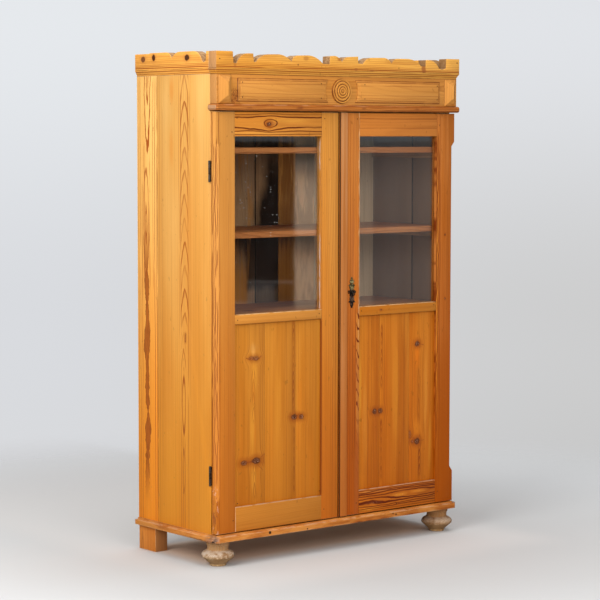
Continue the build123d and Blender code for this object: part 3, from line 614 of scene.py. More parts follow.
def right_joint(g, A, T, L, xyz, col, rough):
    # the open joint that shows inside; outside it is a fine line
    d = g.abs(xyz[1] - yj_r)
    ins = g.smooth(xyz[0], 0.5072, 0.5062)
    col = g.mix((1.0 - g.smooth(d, 0.0015, 0.0050)) * ins, col, (0.006, 0.004, 0.003))
    return g.mix((1.0 - g.smooth(d, 0.0005, 0.0016)) * (1.0 - ins) * 0.8, col, (0.16, 0.045, 0.008)), rough


wood("side_boards_right", "door_l", "zyx", 0.0008, boards=[y_f, yj_r, y_r], axis="y", seed=5.3, gain=0.30, low=0.55,
     extra=chain(side_inner, right_joint),
     per={0: dict(pa=0.02, pt=-0.05, slope=-0.03), 1: dict(pa=-0.02, pt=-0.07, slope=-0.035, wave=0.008)})
xs = [v / 1000 for v in (-506.0, -352.0, -200.0, -45.0, 60.0, 225.0, 365.0, 506.0)]


def plank_extra(g, A, T, L, xyz, col, rough):
    # the back, never waxed, greyer and paler than the face inside the cabinet
    k = g.smooth(xyz[1], (412 - YC) / 1000 + 0.004, (412 - YC) / 1000 + 0.0155)
    n = g.noise(g.vec(xyz[0] * 60, 1.0, xyz[2] * 1.6), detail=3)
    grey = g.mix(g.smooth(n, 0.35, 0.7), (0.44, 0.30, 0.175), (0.30, 0.19, 0.10))
    return g.mix(k * 0.85, col, grey), rough + k * 0.15


def plank_stains_and_shade(g, A, T, L, xyz, col, rough):
    x, y, z = xyz
    face = g.smooth(y, (412 - YC) / 1000 + 0.003, (412 - YC) / 1000 + 0.001)
    n = g.noise(g.vec(x * 22, 4.0, z * 6), detail=4, rough=0.6)
    # nearly black streak, with soft edges, beside the middle; it deepens towards each shelf above it, partly painted
    # shade
    up = g.smooth(x + g.smooth(z, 1.27, 1.13) * 0.032 + (n - 0.5) * 0.070, -0.034, 0.022) * (g.smooth(z + (n - 0.5) * 0.16, 1.40, 1.24) * 0.37 + 0.60)
    dn = g.smooth(x + (n - 0.5) * 0.030, -0.052, -0.036) * (0.97 - g.smooth(z + (n - 0.5) * 0.10, 0.94, 0.86) * 0.30)
    k = g.mix(g.smooth(z, 1.090, 1.084), up, dn)
    col = g.mix(k * face, col, (0.012, 0.004, 0.002))
    # painted shade: darker just under the middle shelf, left of the open joint
    k3 = g.smooth(x, -0.045, -0.047) * g.smooth(z + (n - 0.5) * 0.18, 0.95, 1.05) * g.smooth(z, 1.10, 1.08)
    col = g.mix(k3 * face * 0.80, col, (0.03, 0.012, 0.006))
    k5 = g.smooth(x + (n - 0.5) * 0.040, -0.0986, -0.0766) * g.smooth(z + (n - 0.5) * 0.04, 0.8539, 0.8889) * g.smooth(z, 1.10, 1.085)
    col = g.mix(k5 * face * 0.86, col, (0.030, 0.012, 0.005))
    # painted shade: the whole face darker just under the middle shelf
    k6 = g.smooth(z, 1.005, 1.060) * g.smooth(z, 1.10, 1.085)
    col = g.mix(k6 * face * 0.50, col, (0.020, 0.009, 0.004))
    k7 = g.smooth(x, -0.074, -0.090) * g.smooth(z + (n - 0.5) * 0.06, 0.985, 0.900)
    col = g.mix(k7 * face * 0.62, col, (0.60, 0.235, 0.040))
    # orange streaks on the board left of the gap
    n2 = g.noise(g.vec(x * 60, 6.0, z * 4), detail=3)
    k4 = g.smooth(x, -0.050, -0.060) * g.smooth(n2, 0.50, 0.62)
    col = g.mix(k4 * face * 0.55, col, (0.56, 0.235, 0.045))
    # daylight does not reach this open joint
    gap = 1.0 - g.smooth(g.abs(x + 0.045), 0.0014, 0.0030)
    col = g.mix(gap, col, (0.003, 0.002, 0.001))
    return plank_extra(g, A, T, L, xyz, col, rough)


def plank_right(g, A, T, L, xyz, col, rough):
    # paler half of the board right of the middle
    n = g.noise(g.vec(xyz[0] * 22, 4.0, xyz[2] * 5), detail=4, rough=0.6)
    k = g.smooth(xyz[0] + (n - 0.5) * 0.02, 0.130, 0.140)
    col = g.mix(k * 0.85, col, g.mix(g.smooth(n, 0.42, 0.58), (0.93, 0.53, 0.26), (0.47, 0.25, 0.12)))
    z = xyz[2]
    # painted shade under the upper and the middle shelf on the paler half
    sh = g.smooth(z, 1.235, 1.335) * g.smooth(z, 1.385, 1.365) + g.smooth(z, 0.975, 1.060) * g.smooth(z, 1.098, 1.084)
    col = g.mix(k * g.smooth(z, 1.098, 1.084) * 0.42, col, (0.44, 0.165, 0.026))
    col = g.mix(k * sh * 0.88, col, (0.075, 0.050, 0.038))
    n2 = g.noise(g.vec(xyz[0] * 50, 7.0, xyz[2] * 5), detail=3)
    b = (1.0 - k) * g.smooth(n2, 0.46, 0.60) * g.smooth(xyz[2], 1.14, 1.24)
    col = g.mix(b * 0.75, col, (0.80, 0.36, 0.075))
    # painted shade under the middle shelf on the board's darker part
    shade_under_shelf = (1.0 - k) * g.smooth(xyz[2] + (n2 - 0.5) * 0.12, 1.00, 1.06) * g.smooth(xyz[2], 1.10, 1.08)
    col = g.mix(shade_under_shelf * 0.78, col, (0.085, 0.026, 0.006))
    return plank_extra(g, A, T, L, xyz, col, rough)


wood("back_planks", "inside", "zxy", 0.0012, boards=[xs[0]] + [x for x in xs[1:-1]] + [xs[-1]], axis="x", seed=8.1,
     gain=0.22, low=0.0, coat=0.0, rough=0.6, spec=0.1, streak=0.42, extra=plank_extra,
     per={1: dict(tone_name="inside_warm"), 2: dict(tone_name="inside", extra=plank_stains_and_shade), 3: dict(tone_name="inside", extra=plank_stains_and_shade),
          4: dict(tone_name="inside_warm", extra=plank_right),
          5: dict(tone_name="inside_pale", tmix=0.6), 6: dict(tone_name="inside_pale", tmix=0.5)})
for n, sd in (("top_board", 3.0), ("bottom_board", 4.4), ("head_rail", 6.1)):
    wood(n, "inside", "xyz" if n != "head_rail" else "xzy", 0.0010, seed=sd, low=0.0, coat=0.02, rough=0.58)
for n, sd in (("shelf_lower", 11.0), ("shelf_middle", 12.7), ("shelf_upper", 14.9)):
    wood(n, "shelf", "xyz", 0.0012, seed=sd, low=0.0, coat=0.03, rough=0.52, gain=0.55, sp=0.0035,
         knots=((0.02, 0.12, 0.014, 0.018, 0.8),) if n == "shelf_upper" else ((-0.05, -0.26, 0.012, 0.016, 0.7),))
wood("shelf_cleats", "inside", "yzx", 0.0008, seed=17.0, low=0.0, coat=0.0, rough=0.6)

# =====================================================================
# doors
# =====================================================================
def outer_lines(sign, lim=0.020, weak=0.10):
    def f(g, A, T, L, xyz, off):
        return g.smooth(A * sign, lim - 0.010, lim + 0.012) * 1.5 + weak
    return f


# darker towards the bottom: fully below z0, not at all above z1
def darker_towards_bottom(z0, z1, color, k):
    def f(g, A, T, L, xyz, col, rough):
        n = g.noise(g.vec(xyz[0] * 30, 2.0, xyz[2] * 3), detail=3)
        m = g.smooth(xyz[2] + (n - 0.5) * 0.25, z1, z0)
        return g.mix(m * k, col, color), rough
    return f


def arris_extra(g, A, T, L, xyz, col, rough):
    """The planed-off arris and the door's edge: paler than the face, rubbed pinkish at the very bottom."""
    x, y, z = xyz
    n = g.noise(g.vec(x * 60, y * 60, z * 26), detail=4, rough=0.65)
    u = (x + 0.526) - (y - (0.0 - YC) / 1000)
    top = g.smooth(z, 1.390, 1.384)
    zone = g.smooth(u, 0.0150 * 1.0, 0.0120) * (top * g.smooth(z, 0.218, 0.224)) + g.smooth(u, 0.0, -0.002) * (1.0 - top * g.smooth(z, 0.218, 0.224))
    pale = g.mix(g.smooth(z, 0.25, 1.2), (0.56, 0.195, 0.022), (0.74, 0.330, 0.075))
    line = 1.0 - g.smooth(g.math("MAXIMUM", col_r(g, col) - 0.24, 0.0), 0.0, 0.10)
    col = g.mix(zone * 0.60 * (1.0 - line), col, pale)
    low = g.smooth(u, 0.012, 0.004) * g.smooth(z, 0.33, 0.24) * g.smooth(n, 0.555, 0.615)
    col = g.mix(low * 0.75, col, (0.62, 0.36, 0.24))
    chip = g.smooth(u, 0.012, 0.004) * g.smooth(z, 0.30, 0.22) * g.smooth(n, 0.45, 0.38)
    col = g.mix(chip * 0.75, col, (0.24, 0.060, 0.016))
    return col, rough


def col_r(g, col):
    sc = g.node("ShaderNodeSeparateColor")
    g.t.links.new(col.s, sc.inputs[0])
    return Val(g, sc.outputs[0])


wood("left_door_hinge_stile", "stile_l", "zxy", 0.0009, seed=21.0, sp=0.0095, pa=0.105, pt=-0.010, slope=0.004, wa=0.012,
     wt=0.01, wave=0.007, gain=0.10, streak=0.26, low=0.80, dirt=0.0, bold=1.0, wrap=(0.0 - YC) / 1000,
     strands=((-0.0590, 0.010, 9.0, 0.0030, 1.0, 0.12, 1.50), (-0.0500, 0.016, 8.0, 0.0022, 0.95, 0.20, 1.39),
              (-0.0420, 0.018, 9.0, 0.0026, 1.0, 0.20, 1.39), (-0.0345, 0.016, 10.0, 0.0022, 1.0, 0.20, 1.40),
              (-0.0265, 0.010, 7.0, 0.0017, 0.95, 0.12, 1.49), (-0.0210, 0.008, 4.0, 0.0012, 0.45, 0.12, 1.05),
              (-0.0060, 0.008, 3.0, 0.0010, 0.30, 0.12, 0.85), (0.012, 0.008, 2.0, 0.0010, 0.30, 0.12, 1.2)),
     extra=chain(darker_towards_bottom(0.10, 0.62, (0.40, 0.098, 0.007), 0.50), arris_extra))


def left_meet_extra(g, A, T, L, xyz, col, rough):
    x, y, z = xyz
    # old whitish putty smeared on the glass rebate's edge
    n = g.noise(g.vec(1.0, y * 120, z * 26), detail=3, rough=0.6)
    k = g.smooth(x, -0.0812, -0.0817) * g.smooth(y, (15.0 - YC) / 1000, (13.6 - YC) / 1000) \
        * g.smooth(y + (n - 0.5) * 0.006, (6.5 - YC) / 1000, (8.5 - YC) / 1000) * g.smooth(z, 0.829, 0.833) \
        * g.smooth(z, 1.409, 1.405) * g.smooth(n, 0.36, 0.56)
    gap = (1.0 - g.smooth(g.abs(z - 1.19), 0.10, 0.13))
    col = g.mix(k * (0.66 - gap * 0.56), col, (0.60, 0.50, 0.44))
    s = g.noise(g.vec(x * 40, 5.0, z * 3), detail=3)
    col = g.mix(g.smooth(z + (s - 0.5) * 0.3, 0.60, 0.15) * 0.45, col, (0.46, 0.115, 0.010))
    j = g.smooth(x, -0.0780, -0.0815) * g.smooth(z, 0.800, 0.785) * g.smooth(z, 0.19, 0.20)
    col = g.mix(j * 0.85, col, (0.19, 0.040, 0.005))
    # painted shade: the stile's edge in the gap between the doors, nearly black
    gap_shade = g.smooth(x, -0.0105, -0.0085)
    col = g.mix(gap_shade * 0.96, col, (0.016, 0.003, 0.001))
    rough = rough + gap_shade * 0.35
    return col, rough


wood("left_door_meeting_stile", "door_l", "zxy", 0.0009, seed=24.0, sp=0.0090, pa=0.06, pt=-0.04, slope=-0.01, gain=0.28,
     streak=0.46, low=0.80, dirt=0.5, edge=0.05, extra=left_meet_extra,
     strands=((0.012, 0.012, 1.8, 0.0012, 0.5, 0.12, 0.9), (0.024, 0.010, 1.8, 0.0012, 0.5, 0.12, 1.3),
              (-0.018, 0.010, 1.6, 0.0010, 0.35, 0.3, 1.3)))
wood("left_door_top_rail", "rail_t", "xzy", 0.0009, seed=26.0, sp=0.0125, pa=0.004, pt=-0.034, slope=0.052, wa=0.010,
     wt=0.012, wave=0.012, gain=0.30, streak=0.40, low=0.0, dirt=0.5, bold=1.45, steady=True, tmix=0.8,
     flares=((0.012, 0.055, 0.010, 0.10, (0.74, 0.33, 0.045), 0.5), (-0.030, -0.06, 0.006, 0.20, (0.74, 0.34, 0.060), 0.4)),
     knots=((0.0002, -0.0426, 0.0072, 0.0088, 1.0), (0.0020, -0.0330, 0.0085, 0.0240, 0.0)),
     loops=((0.0020, -0.0345, 0.0165, 0.0330, 0.60, 0.085, 1.0),),
     strands=((0.0315, 0.006, 4.0, 0.0014, 0.8, None, 0), (0.0225, 0.016, 7.0, 0.0024, 1.0, None, 0),
              (-0.0120, 0.020, 7.0, 0.0026, 1.0, None, 0), (-0.0225, 0.012, 7.0, 0.0017, 0.9, None, 0),
              (-0.0330, 0.008, 5.0, 0.0015, 0.8, None, 0)))

def rail_top(g, A, T, L, xyz, col, rough):
    # dust and rubbed lacquer on the upper arris of a bottom rail, with a painted highlight
    z = xyz[2]
    n = g.noise(g.vec(xyz[0] * 28, 0.0, 6.0), detail=3)
    k = g.smooth(z, 0.1902, 0.1922) * g.smooth(n, 0.30, 0.50)
    return g.mix(k * 0.42, col, (0.62, 0.42, 0.28)), rough


def mid_rail_extra(g, A, T, L, xyz, col, rough):
    z = xyz[2]
    n = g.noise(g.vec(xyz[0] * 35, 0.0, 4.0), detail=3)
    # pale line along the top arris: dust, with a painted highlight
    k = g.smooth(z, 0.8262, 0.8282) * g.smooth(n, 0.34, 0.52)
    return g.mix(k * 0.5, col, (0.86, 0.58, 0.30)), rough


wood("left_door_mid_rail", "door_l", "xzy", 0.0012, seed=28.0, sp=0.0036, pa=0.10, pt=-0.02, slope=0.0, gain=0.25,
     streak=0.35, low=0.3, dirt=0.7, extra=mid_rail_extra)
wood("left_door_bottom_rail", "rail_l", "xzy", 0.0010, seed=30.5, sp=0.0060, pa=-0.05, pt=-0.05, slope=0.02, gain=0.14,
     streak=0.30, low=0.40, dirt=0.65, extra=chain(rail_top, seam(-0.4482, 0, 0.0022, 0.6, (0.74, 0.50, 0.34))))

pl_a, pl_b = (-449.0 - 8 + 0.6) / 1000, (-82.0 + 8 - 0.6) / 1000
cl = [pl_a, pl_a + (pl_b - pl_a) * 0.36, pl_a + (pl_b - pl_a) * 0.70, pl_b]


def knot_rel(boards, i, x, z, zc):
    return ((x / 1000.0) - (boards[i] + boards[i + 1]) / 2, z / 1000.0 - zc)


ZPC = ((193.5 - 8 + 0.6) + (796.5 + 8 - 0.6)) / 2000.0


def kn(boards, i, x, z, rx, rz, dark=1.0):
    a, l = knot_rel(boards, i, x, z, ZPC)
    return (a, l, rx, rz, dark)


def centre_mask(w=0.02, weak=0.25):
    def f(g, A, T, L, xyz, off):
        return (1.0 - g.smooth(g.abs(off), w * 0.6, w * 1.8)) * 1.1 + weak
    return f


ZB = ZPC


def fl(boards, i, x, z, ra, rl, color, k):
    a, l = knot_rel(boards, i, x, z, ZPC)
    return (a, l, ra / 1000, rl / 1000, color, k)


def br(boards, i, x0, z0, x1, z1, w, k):
    a0, l0 = knot_rel(boards, i, x0, z0, ZPC)
    a1, l1 = knot_rel(boards, i, x1, z1, ZPC)
    return (a0, l0, a1, l1, w / 1000, k)


def ch(boards, i, x, z0, z1, per, hw, w, k, ph=0.0, drift=0.004):
    return (x / 1000 - (boards[i] + boards[i + 1]) / 2, z0 / 1000, z1 / 1000, per / 1000, hw / 1000, w * 1.45 / 1000, k, ph, drift)


def sd_(boards, i, x, amp, f, w, k, z0=200, z1=790):
    return (x / 1000 - (boards[i] + boards[i + 1]) / 2, amp / 1000, f, w / 1000, k, z0 / 1000, z1 / 1000)


YEL, ORG, RED = (0.78, 0.325, 0.030), (0.60, 0.175, 0.010), (0.44, 0.100, 0.006)
wood("left_door_panel_boards", "panel_l", "zxy", 0.0004, boards=cl, axis="x", seed=33.0, gain=0.12, streak=0.38, low=0.75,
     sp=0.0100, wave=0.004, tsa=11.0, dirt=0.25,
     per={0: dict(pa=0.06, pt=-0.03, slope=0.004,
                  knots=(kn(cl, 0, -374.8, 681.4, 0.0120, 0.0070, 0.42), kn(cl, 0, -356.0, 679.3, 0.0125, 0.0075, 0.50),
                         kn(cl, 0, -406.4, 335.5, 0.0125, 0.0080, 0.80), kn(cl, 0, -355.2, 338.3, 0.0170, 0.0100, 0.95)),
                  bars=(br(cl, 0, -406.4, 335.5, -355.2, 338.3, 3.2, 0.80), br(cl, 0, -395.6, 682.8, -383.1, 677.0, 1.5, 0.95),
                        br(cl, 0, -383.1, 677.0, -368.6, 681.8, 1.2, 0.8), br(cl, 0, -368.6, 681.8, -357.1, 674.4, 1.2, 0.8),
                        br(cl, 0, -357.1, 674.4, -345.0, 677.7, 1.6, 0.95), br(cl, 0, -345.0, 677.7, -334.0, 686.2, 1.5, 0.9),
                        br(cl, 0, -333.1, 350.4, -315.1, 360.4, 1.3, 0.8), br(cl, 0, -349.9, 324.4, -326.8, 304.5, 0.9, 0.5)),
                  flares=(fl(cl, 0, -365.9, 706.1, 13, 34, (0.80, 0.37, 0.075), 0.60), fl(cl, 0, -362, 630, 15, 60, YEL, 0.50), fl(cl, 0, -365, 560, 7, 90, ORG, 0.35),
                          fl(cl, 0, -372, 440, 15, 110, YEL, 0.45), fl(cl, 0, -360, 430, 6, 70, ORG, 0.45),
                          fl(cl, 0, -366, 280, 15, 65, YEL, 0.5), fl(cl, 0, -350, 270, 8, 60, ORG, 0.4),
                          fl(cl, 0, -366, 715, 26, 18, (0.46, 0.20, 0.05), 0.30), fl(cl, 0, -420, 420, 14, 150, ORG, 0.22)),
                  chains=(ch(cl, 0, -366, 470, 640, 46, 7.5, 1.1, 0.6, 0.01), ch(cl, 0, -362, 215, 320, 40, 6.5, 1.1, 0.6, 0.02)),
                  strands=(sd_(cl, 0, -384, 14, 3.0, 1.0, 0.55), sd_(cl, 0, -338, 14, 3.0, 1.0, 0.5), sd_(cl, 0, -330, 12, 2.4, 0.9, 0.35),
                           sd_(cl, 0, -428, 10, 2.0, 0.9, 0.3))),
          1: dict(pa=0.05, pt=-0.05, slope=-0.004, gain=0.12,
                  knots=(kn(cl, 1, -192.4, 471.1, 0.0120, 0.0085),),
                  chains=(ch(cl, 1, -197.3, 480, 795, 29, 4.8, 1.25, 0.72, 0.012, 0.003),
                          ch(cl, 1, -194.5, 215, 440, 33, 4.6, 1.2, 0.62, 0.004, 0.003)),
                  flares=(fl(cl, 1, -262, 520, 18, 210, YEL, 0.22), fl(cl, 1, -292, 430, 12, 180, ORG, 0.25)),
                  strands=(sd_(cl, 1, -300, 10, 2.0, 0.9, 0.35), sd_(cl, 1, -226, 10, 2.0, 0.9, 0.35))),
          2: dict(pa=0.06, pt=-0.04, slope=-0.006, gain=0.12,
                  knots=(kn(cl, 2, -192.4, 471.1, 0.0120, 0.0085), kn(cl, 2, -162.9, 469.6, 0.0098, 0.0080, 0.8)),
                  bars=(br(cl, 2, -180, 474, -172, 480, 1.4, 0.6), br(cl, 2, -169, 478, -157, 481, 1.3, 0.6)),
                  flares=(fl(cl, 2, -176, 400, 12, 90, ORG, 0.45), fl(cl, 2, -170, 540, 12, 90, ORG, 0.45),
                          fl(cl, 2, -196, 330, 6, 100, YEL, 0.4), fl(cl, 2, -120, 300, 16, 160, ORG, 0.40)),
                  strands=(sd_(cl, 2, -186, 4, 3.0, 0.9, 0.40), sd_(cl, 2, -176, 6, 3.0, 0.9, 0.4), sd_(cl, 2, -144, 10, 2.0, 0.9, 0.35)))})

pr_a, pr_b = (86.0 - 8 + 0.6) / 1000, (443.0 + 8 - 0.6) / 1000
cr = [pr_a, pr_a + (pr_b - pr_a) * 0.29, pr_a + (pr_b - pr_a) * 0.66, pr_b]
wood("right_door_panel_boards", "panel_r", "zxy", 0.0004, boards=cr, axis="x", seed=47.0, gain=0.12, streak=0.46, low=0.75,
     sp=0.0100, wave=0.004, tsa=11.0, dirt=0.25,
     per={0: dict(pa=0.05, pt=-0.03, slope=0.004,
                  knots=(kn(cr, 0, 165.0, 460.4, 0.0098, 0.0085), kn(cr, 0, 190.8, 459.7, 0.0100, 0.0092, 0.85)),
                  bars=(br(cr, 0, 160, 453, 172, 453, 1.5, 0.7), br(cr, 0, 153.0, 458.4, 161.0, 465.4, 1.4, 0.6)),
                  flares=(fl(cr, 0, 168, 400, 12, 60, RED, 0.55), fl(cr, 0, 150, 560, 16, 150, ORG, 0.45),
                          fl(cr, 0, 190, 560, 9, 130, YEL, 0.25), fl(cr, 0, 96, 560, 9, 190, YEL, 0.55),
                          fl(cr, 0, 120, 420, 14, 200, (0.66, 0.25, 0.03), 0.4), fl(cr, 0, 165, 280, 10, 80, RED, 0.35)),
                  strands=(sd_(cr, 0, 133, 12, 2.4, 1.0, 0.5), sd_(cr, 0, 188, 8, 3.0, 1.0, 0.5), sd_(cr, 0, 150, 10, 2.0, 1.0, 0.4))),
          1: dict(pa=0.05, pt=-0.05, slope=-0.004, gain=0.12,
                  knots=(kn(cr, 1, 190.8, 459.7, 0.0100, 0.0092, 0.85),),
                  chains=(ch(cr, 1, 195.8, 540, 760, 30, 5.0, 1.3, 0.85, 0.010, 0.003),
                          ch(cr, 1, 195.2, 215, 430, 33, 5.0, 1.25, 1.0, 0.0, 0.003)),
                  flares=(fl(cr, 1, 215, 560, 10, 200, RED, 0.35), fl(cr, 1, 262, 520, 20, 230, YEL, 0.20), fl(cr, 1, 232, 300, 10, 120, RED, 0.3)),
                  strands=(sd_(cr, 1, 208, 8, 2.0, 1.2, 0.55), sd_(cr, 1, 300, 10, 2.0, 0.9, 0.35))),
          2: dict(pa=0.05, pt=-0.04, slope=-0.006, gain=0.14,
                  knots=(kn(cr, 2, 362, 684, 0.0105, 0.0092), kn(cr, 2, 327, 365, 0.0100, 0.0140, 0.40),
                         kn(cr, 2, 343, 338, 0.0085, 0.0070, 0.6), kn(cr, 2, 363, 338, 0.0120, 0.0105, 0.95)),
                  bars=(br(cr, 2, 368, 684, 392, 678, 1.5, 0.7), br(cr, 2, 344, 352, 360, 342, 1.6, 0.7),
                        br(cr, 2, 340, 338, 326, 341, 1.5, 0.6), br(cr, 2, 380, 338, 396, 340, 1.2, 0.5), br(cr, 2, 372, 346, 376, 360, 1.4, 0.6)),
                  flares=(fl(cr, 2, 364, 640, 14, 52, (0.62, 0.150, 0.006), 0.80), fl(cr, 2, 352, 560, 9, 120, RED, 0.45),
                          fl(cr, 2, 332, 540, 10, 200, RED, 0.40), fl(cr, 2, 404, 500, 12, 190, (0.66, 0.25, 0.03), 0.45),
                          fl(cr, 2, 360, 385, 26, 40, ORG, 0.55), fl(cr, 2, 335, 270, 14, 70, RED, 0.45), fl(cr, 2, 425, 330, 10, 120, YEL, 0.3)),
                  chains=(ch(cr, 2, 375, 215, 330, 28, 6.0, 1.25, 1.0, 0.0, 0.004), ch(cr, 2, 372, 400, 640, 52, 6.0, 1.0, 0.5, 0.02, 0.010)),
                  strands=(sd_(cr, 2, 340, 8, 2.4, 1.1, 0.55), sd_(cr, 2, 388, 8, 2.4, 1.0, 0.5), sd_(cr, 2, 436, 6, 2.0, 1.0, 0.45)))})


def right_meet_extra(g, A, T, L, xyz, col, rough):
    x, y, z = xyz
    # hand-planed inner arris: a pale line, worn and with a painted highlight, and a few wavy dark lines beside the
    # glass
    n = g.noise(g.vec(3.0, 8.0, z * 14), detail=3, rough=0.6)
    d = 0.086 - x + (n - 0.5) * 0.022
    k = g.smooth(d, 0.0045, 0.0008) * g.smooth(z, 0.62, 0.72)
    col = g.mix(k * 0.65, col, (0.78, 0.44, 0.20))
    # below the middle rail: slanting dark dashes on a paler band, where the saw ran across the grain
    ln = g.noise(g.vec(x * 60, 1.0, z * 11), detail=2)
    band = g.smooth(x, 0.0715, 0.0740) * g.smooth(z, 0.815, 0.800)
    col = g.mix(band * g.smooth(z, 0.34, 0.46) * 0.55, col, (0.66, 0.26, 0.045))
    ph = g.math("FRACT", z / 0.046 + (x - 0.0790) / 0.021 + ln * 1.8)
    dash = (1.0 - g.smooth(g.abs(ph - 0.5), 0.06, 0.17)) * band * (g.smooth(z, 0.40, 0.50) * 0.75 + 0.25) * g.smooth(z, 0.20, 0.26)
    col = g.mix(dash * 0.95, col, (0.135, 0.010, 0.001))
    s = g.noise(g.vec(x * 30, 5.0, z * 2.2), detail=3)
    col = g.mix(g.smooth(s, 0.50, 0.62) * 0.35, col, (0.46, 0.130, 0.030))
    return col, rough


wood("right_door_meeting_stile", "door_r", "zxy", 0.0009, seed=52.0, sp=0.0085, pa=0.09, pt=-0.02, slope=0.0, gain=0.30,
     streak=0.50, low=0.80, dirt=0.55, extra=right_meet_extra,
     strands=((0.0262, 0.008, 9.0, 0.0013, 0.6, 0.35, 0.83), (0.004, 0.012, 2.0, 0.0011, 0.5, 0.12, 1.45),
              (0.015, 0.012, 2.0, 0.0011, 0.5, 0.3, 1.45), (-0.006, 0.012, 2.0, 0.0010, 0.4, 0.12, 1.0)))
wood("right_door_hinge_stile", "stile_r", "zxy", 0.0009, seed=55.0, sp=0.0090, pa=-0.10, pt=-0.015, slope=0.0, gain=0.30,
     streak=0.45, low=0.85, dirt=0.5, edge=0.0, bold=1.8, spec=0.08, coat=0.0, extra=darker_towards_bottom(0.10, 0.95, (0.33, 0.066, 0.001), 0.85),
     flares=((-0.036, 0.10, 0.006, 0.50, (0.74, 0.27, 0.030), 0.8), (-0.035, -0.25, 0.006, 0.40, (0.66, 0.21, 0.015), 0.6)),
     strands=((-0.0395, 0.012, 13.0, 0.0014, 1.0, 0.13, 1.40), (-0.0340, 0.016, 11.0, 0.0013, 1.0, 0.13, 1.42),
              (-0.0285, 0.012, 9.0, 0.0012, 0.85, 0.50, 1.36),
              (-0.0225, 0.008, 4.0, 0.0012, 0.6, 0.13, 1.3), (0.0300, 0.008, 3.0, 0.0012, 0.6, 0.13, 1.3)),
     knots=((0.0, (1064.0 - 801.0) / 1000, 0.0030, 0.0036, 0.9), (0.002, (838.0 - 801.0) / 1000, 0.0030, 0.0036, 0.9)))
wood("right_door_top_rail", "door_r", "xzy", 0.0009, seed=57.0, sp=0.0110, pa=-0.03, pt=-0.05, slope=0.02, gain=0.30,
     streak=0.5, low=0.15, dirt=0.6, tmix=0.6, strands=((0.020, 0.012, 1.5, 0.0011, 0.45, None, 0), (-0.012, 0.014, 1.5, 0.0011, 0.4, None, 0)))
wood("right_door_mid_rail", "panel_r", "xzy", 0.0012, seed=59.0, sp=0.0040, pa=0.09, pt=-0.03, slope=0.0, gain=0.35,
     streak=0.4, low=0.25, dirt=0.7, extra=mid_rail_extra,
     knots=((0.0005, -0.085, 0.0028, 0.0046, 0.7),))
wood("right_door_bottom_rail", "figured", "xzy", 0.0010, seed=61.5, sp=0.0135, pa=0.002, pt=-0.030, slope=0.075, wa=0.020,
     wt=0.022, wave=0.026, gain=0.25, streak=0.35, low=0.0, dirt=0.6, tmix=0.8, bold=1.25, steady=True,
     flares=((0.006, 0.012, 0.008, 0.040, (0.74, 0.24, 0.012), 0.85), (0.010, 0.100, 0.007, 0.045, (0.72, 0.23, 0.012), 0.8),
             (-0.030, -0.130, 0.010, 0.060, (0.66, 0.24, 0.020), 0.7), (0.031, -0.10, 0.006, 0.09, (0.60, 0.25, 0.06), 0.5)),
     knots=((0.006, 0.010, 0.0075, 0.034, 0.0), (0.010, 0.105, 0.0060, 0.032, 0.0), (-0.010, -0.110, 0.0060, 0.040, 0.0)),
     extra=rail_top,
     strands=((0.0350, 0.010, 7.0, 0.0016, 0.9, None, 0), (0.0285, 0.014, 8.0, 0.0022, 1.0, None, 0), (0.0215, 0.016, 8.0, 0.0030, 1.0, None, 0),
              (0.0130, 0.018, 9.0, 0.0022, 0.95, None, 0), (0.0015, 0.018, 9.0, 0.0022, 1.0, None, 0), (-0.0075, 0.020, 8.0, 0.0034, 1.0, None, 0),
              (-0.0170, 0.018, 8.0, 0.0022, 0.9, None, 0), (-0.0255, 0.016, 7.0, 0.0024, 0.9, None, 0), (-0.0345, 0.010, 5.0, 0.0016, 0.7, None, 0)))


def strip_extra(g, A, T, L, xyz, col, rough):
    s = g.noise(g.vec(xyz[0] * 60, 5.0, xyz[2] * 1.6), detail=3)
    col = g.mix(g.smooth(s, 0.46, 0.60) * g.smooth(xyz[2], 0.3, 0.9) * 0.4, col, (0.54, 0.25, 0.11))
    col = g.mix(g.smooth(xyz[2], 0.75, 0.20) * 0.55, col, (0.42, 0.105, 0.012))
    # dirt and painted shade: the strip's side face in the gap between the doors, nearly black
    gap = g.smooth(xyz[0], -0.0010, -0.0022)
    n = g.noise(g.vec(2.0, 5.0, xyz[2] * 9), detail=3)
    return g.mix(gap * (g.smooth(n, 0.2, 0.5) * 0.15 + 0.82), col, (0.035, 0.010, 0.003)), rough


wood("astragal_strip", "strip", "zxy", 0.0016, seed=63.0, sp=0.0040, pa=0.05, pt=-0.03, slope=0.0, gain=0.25, streak=0.5,
     low=0.75, extra=strip_extra, seg=3)
for pre, sd in (("left", 66.0), ("right", 69.0)):
    wood(pre + "_door_glazing_beads", "door_l" if pre == "left" else "door_r", "zxy", 0.0010, seed=sd, low=0.2, gain=0.2)

# =====================================================================
# frieze, mouldings, cornice, crest, base, block feet
# =====================================================================
def end_pale(c):
    return dict(end=c)


def frieze_extra(g, A, T, L, xyz, col, rough):
    x, y, z = xyz
    # dark knotty patch beside the left plaque's lower corner
    dx, dz = (x + 0.4535) / 0.020, (z - 1.5365) / 0.026
    n = g.noise(g.vec(x * 130, 2.0, z * 130), detail=3)
    d = g.sqrt(dx * dx + dz * dz) + (n - 0.5) * 1.1
    col = g.mix((1.0 - g.smooth(d, 0.35, 1.15)) * 0.55, col, (0.34, 0.095, 0.016))
    w_ = g.noise(g.vec(x * 70, 6.0, z * 70), detail=4, rough=0.65)
    ln = 1.0 - g.smooth(g.abs(g.math("FRACT", w_ * 7.0) - 0.5), 0.10, 0.20)
    col = g.mix((1.0 - g.smooth(d, 0.7, 1.5)) * ln * 0.85, col, (0.13, 0.028, 0.006))
    return col, rough


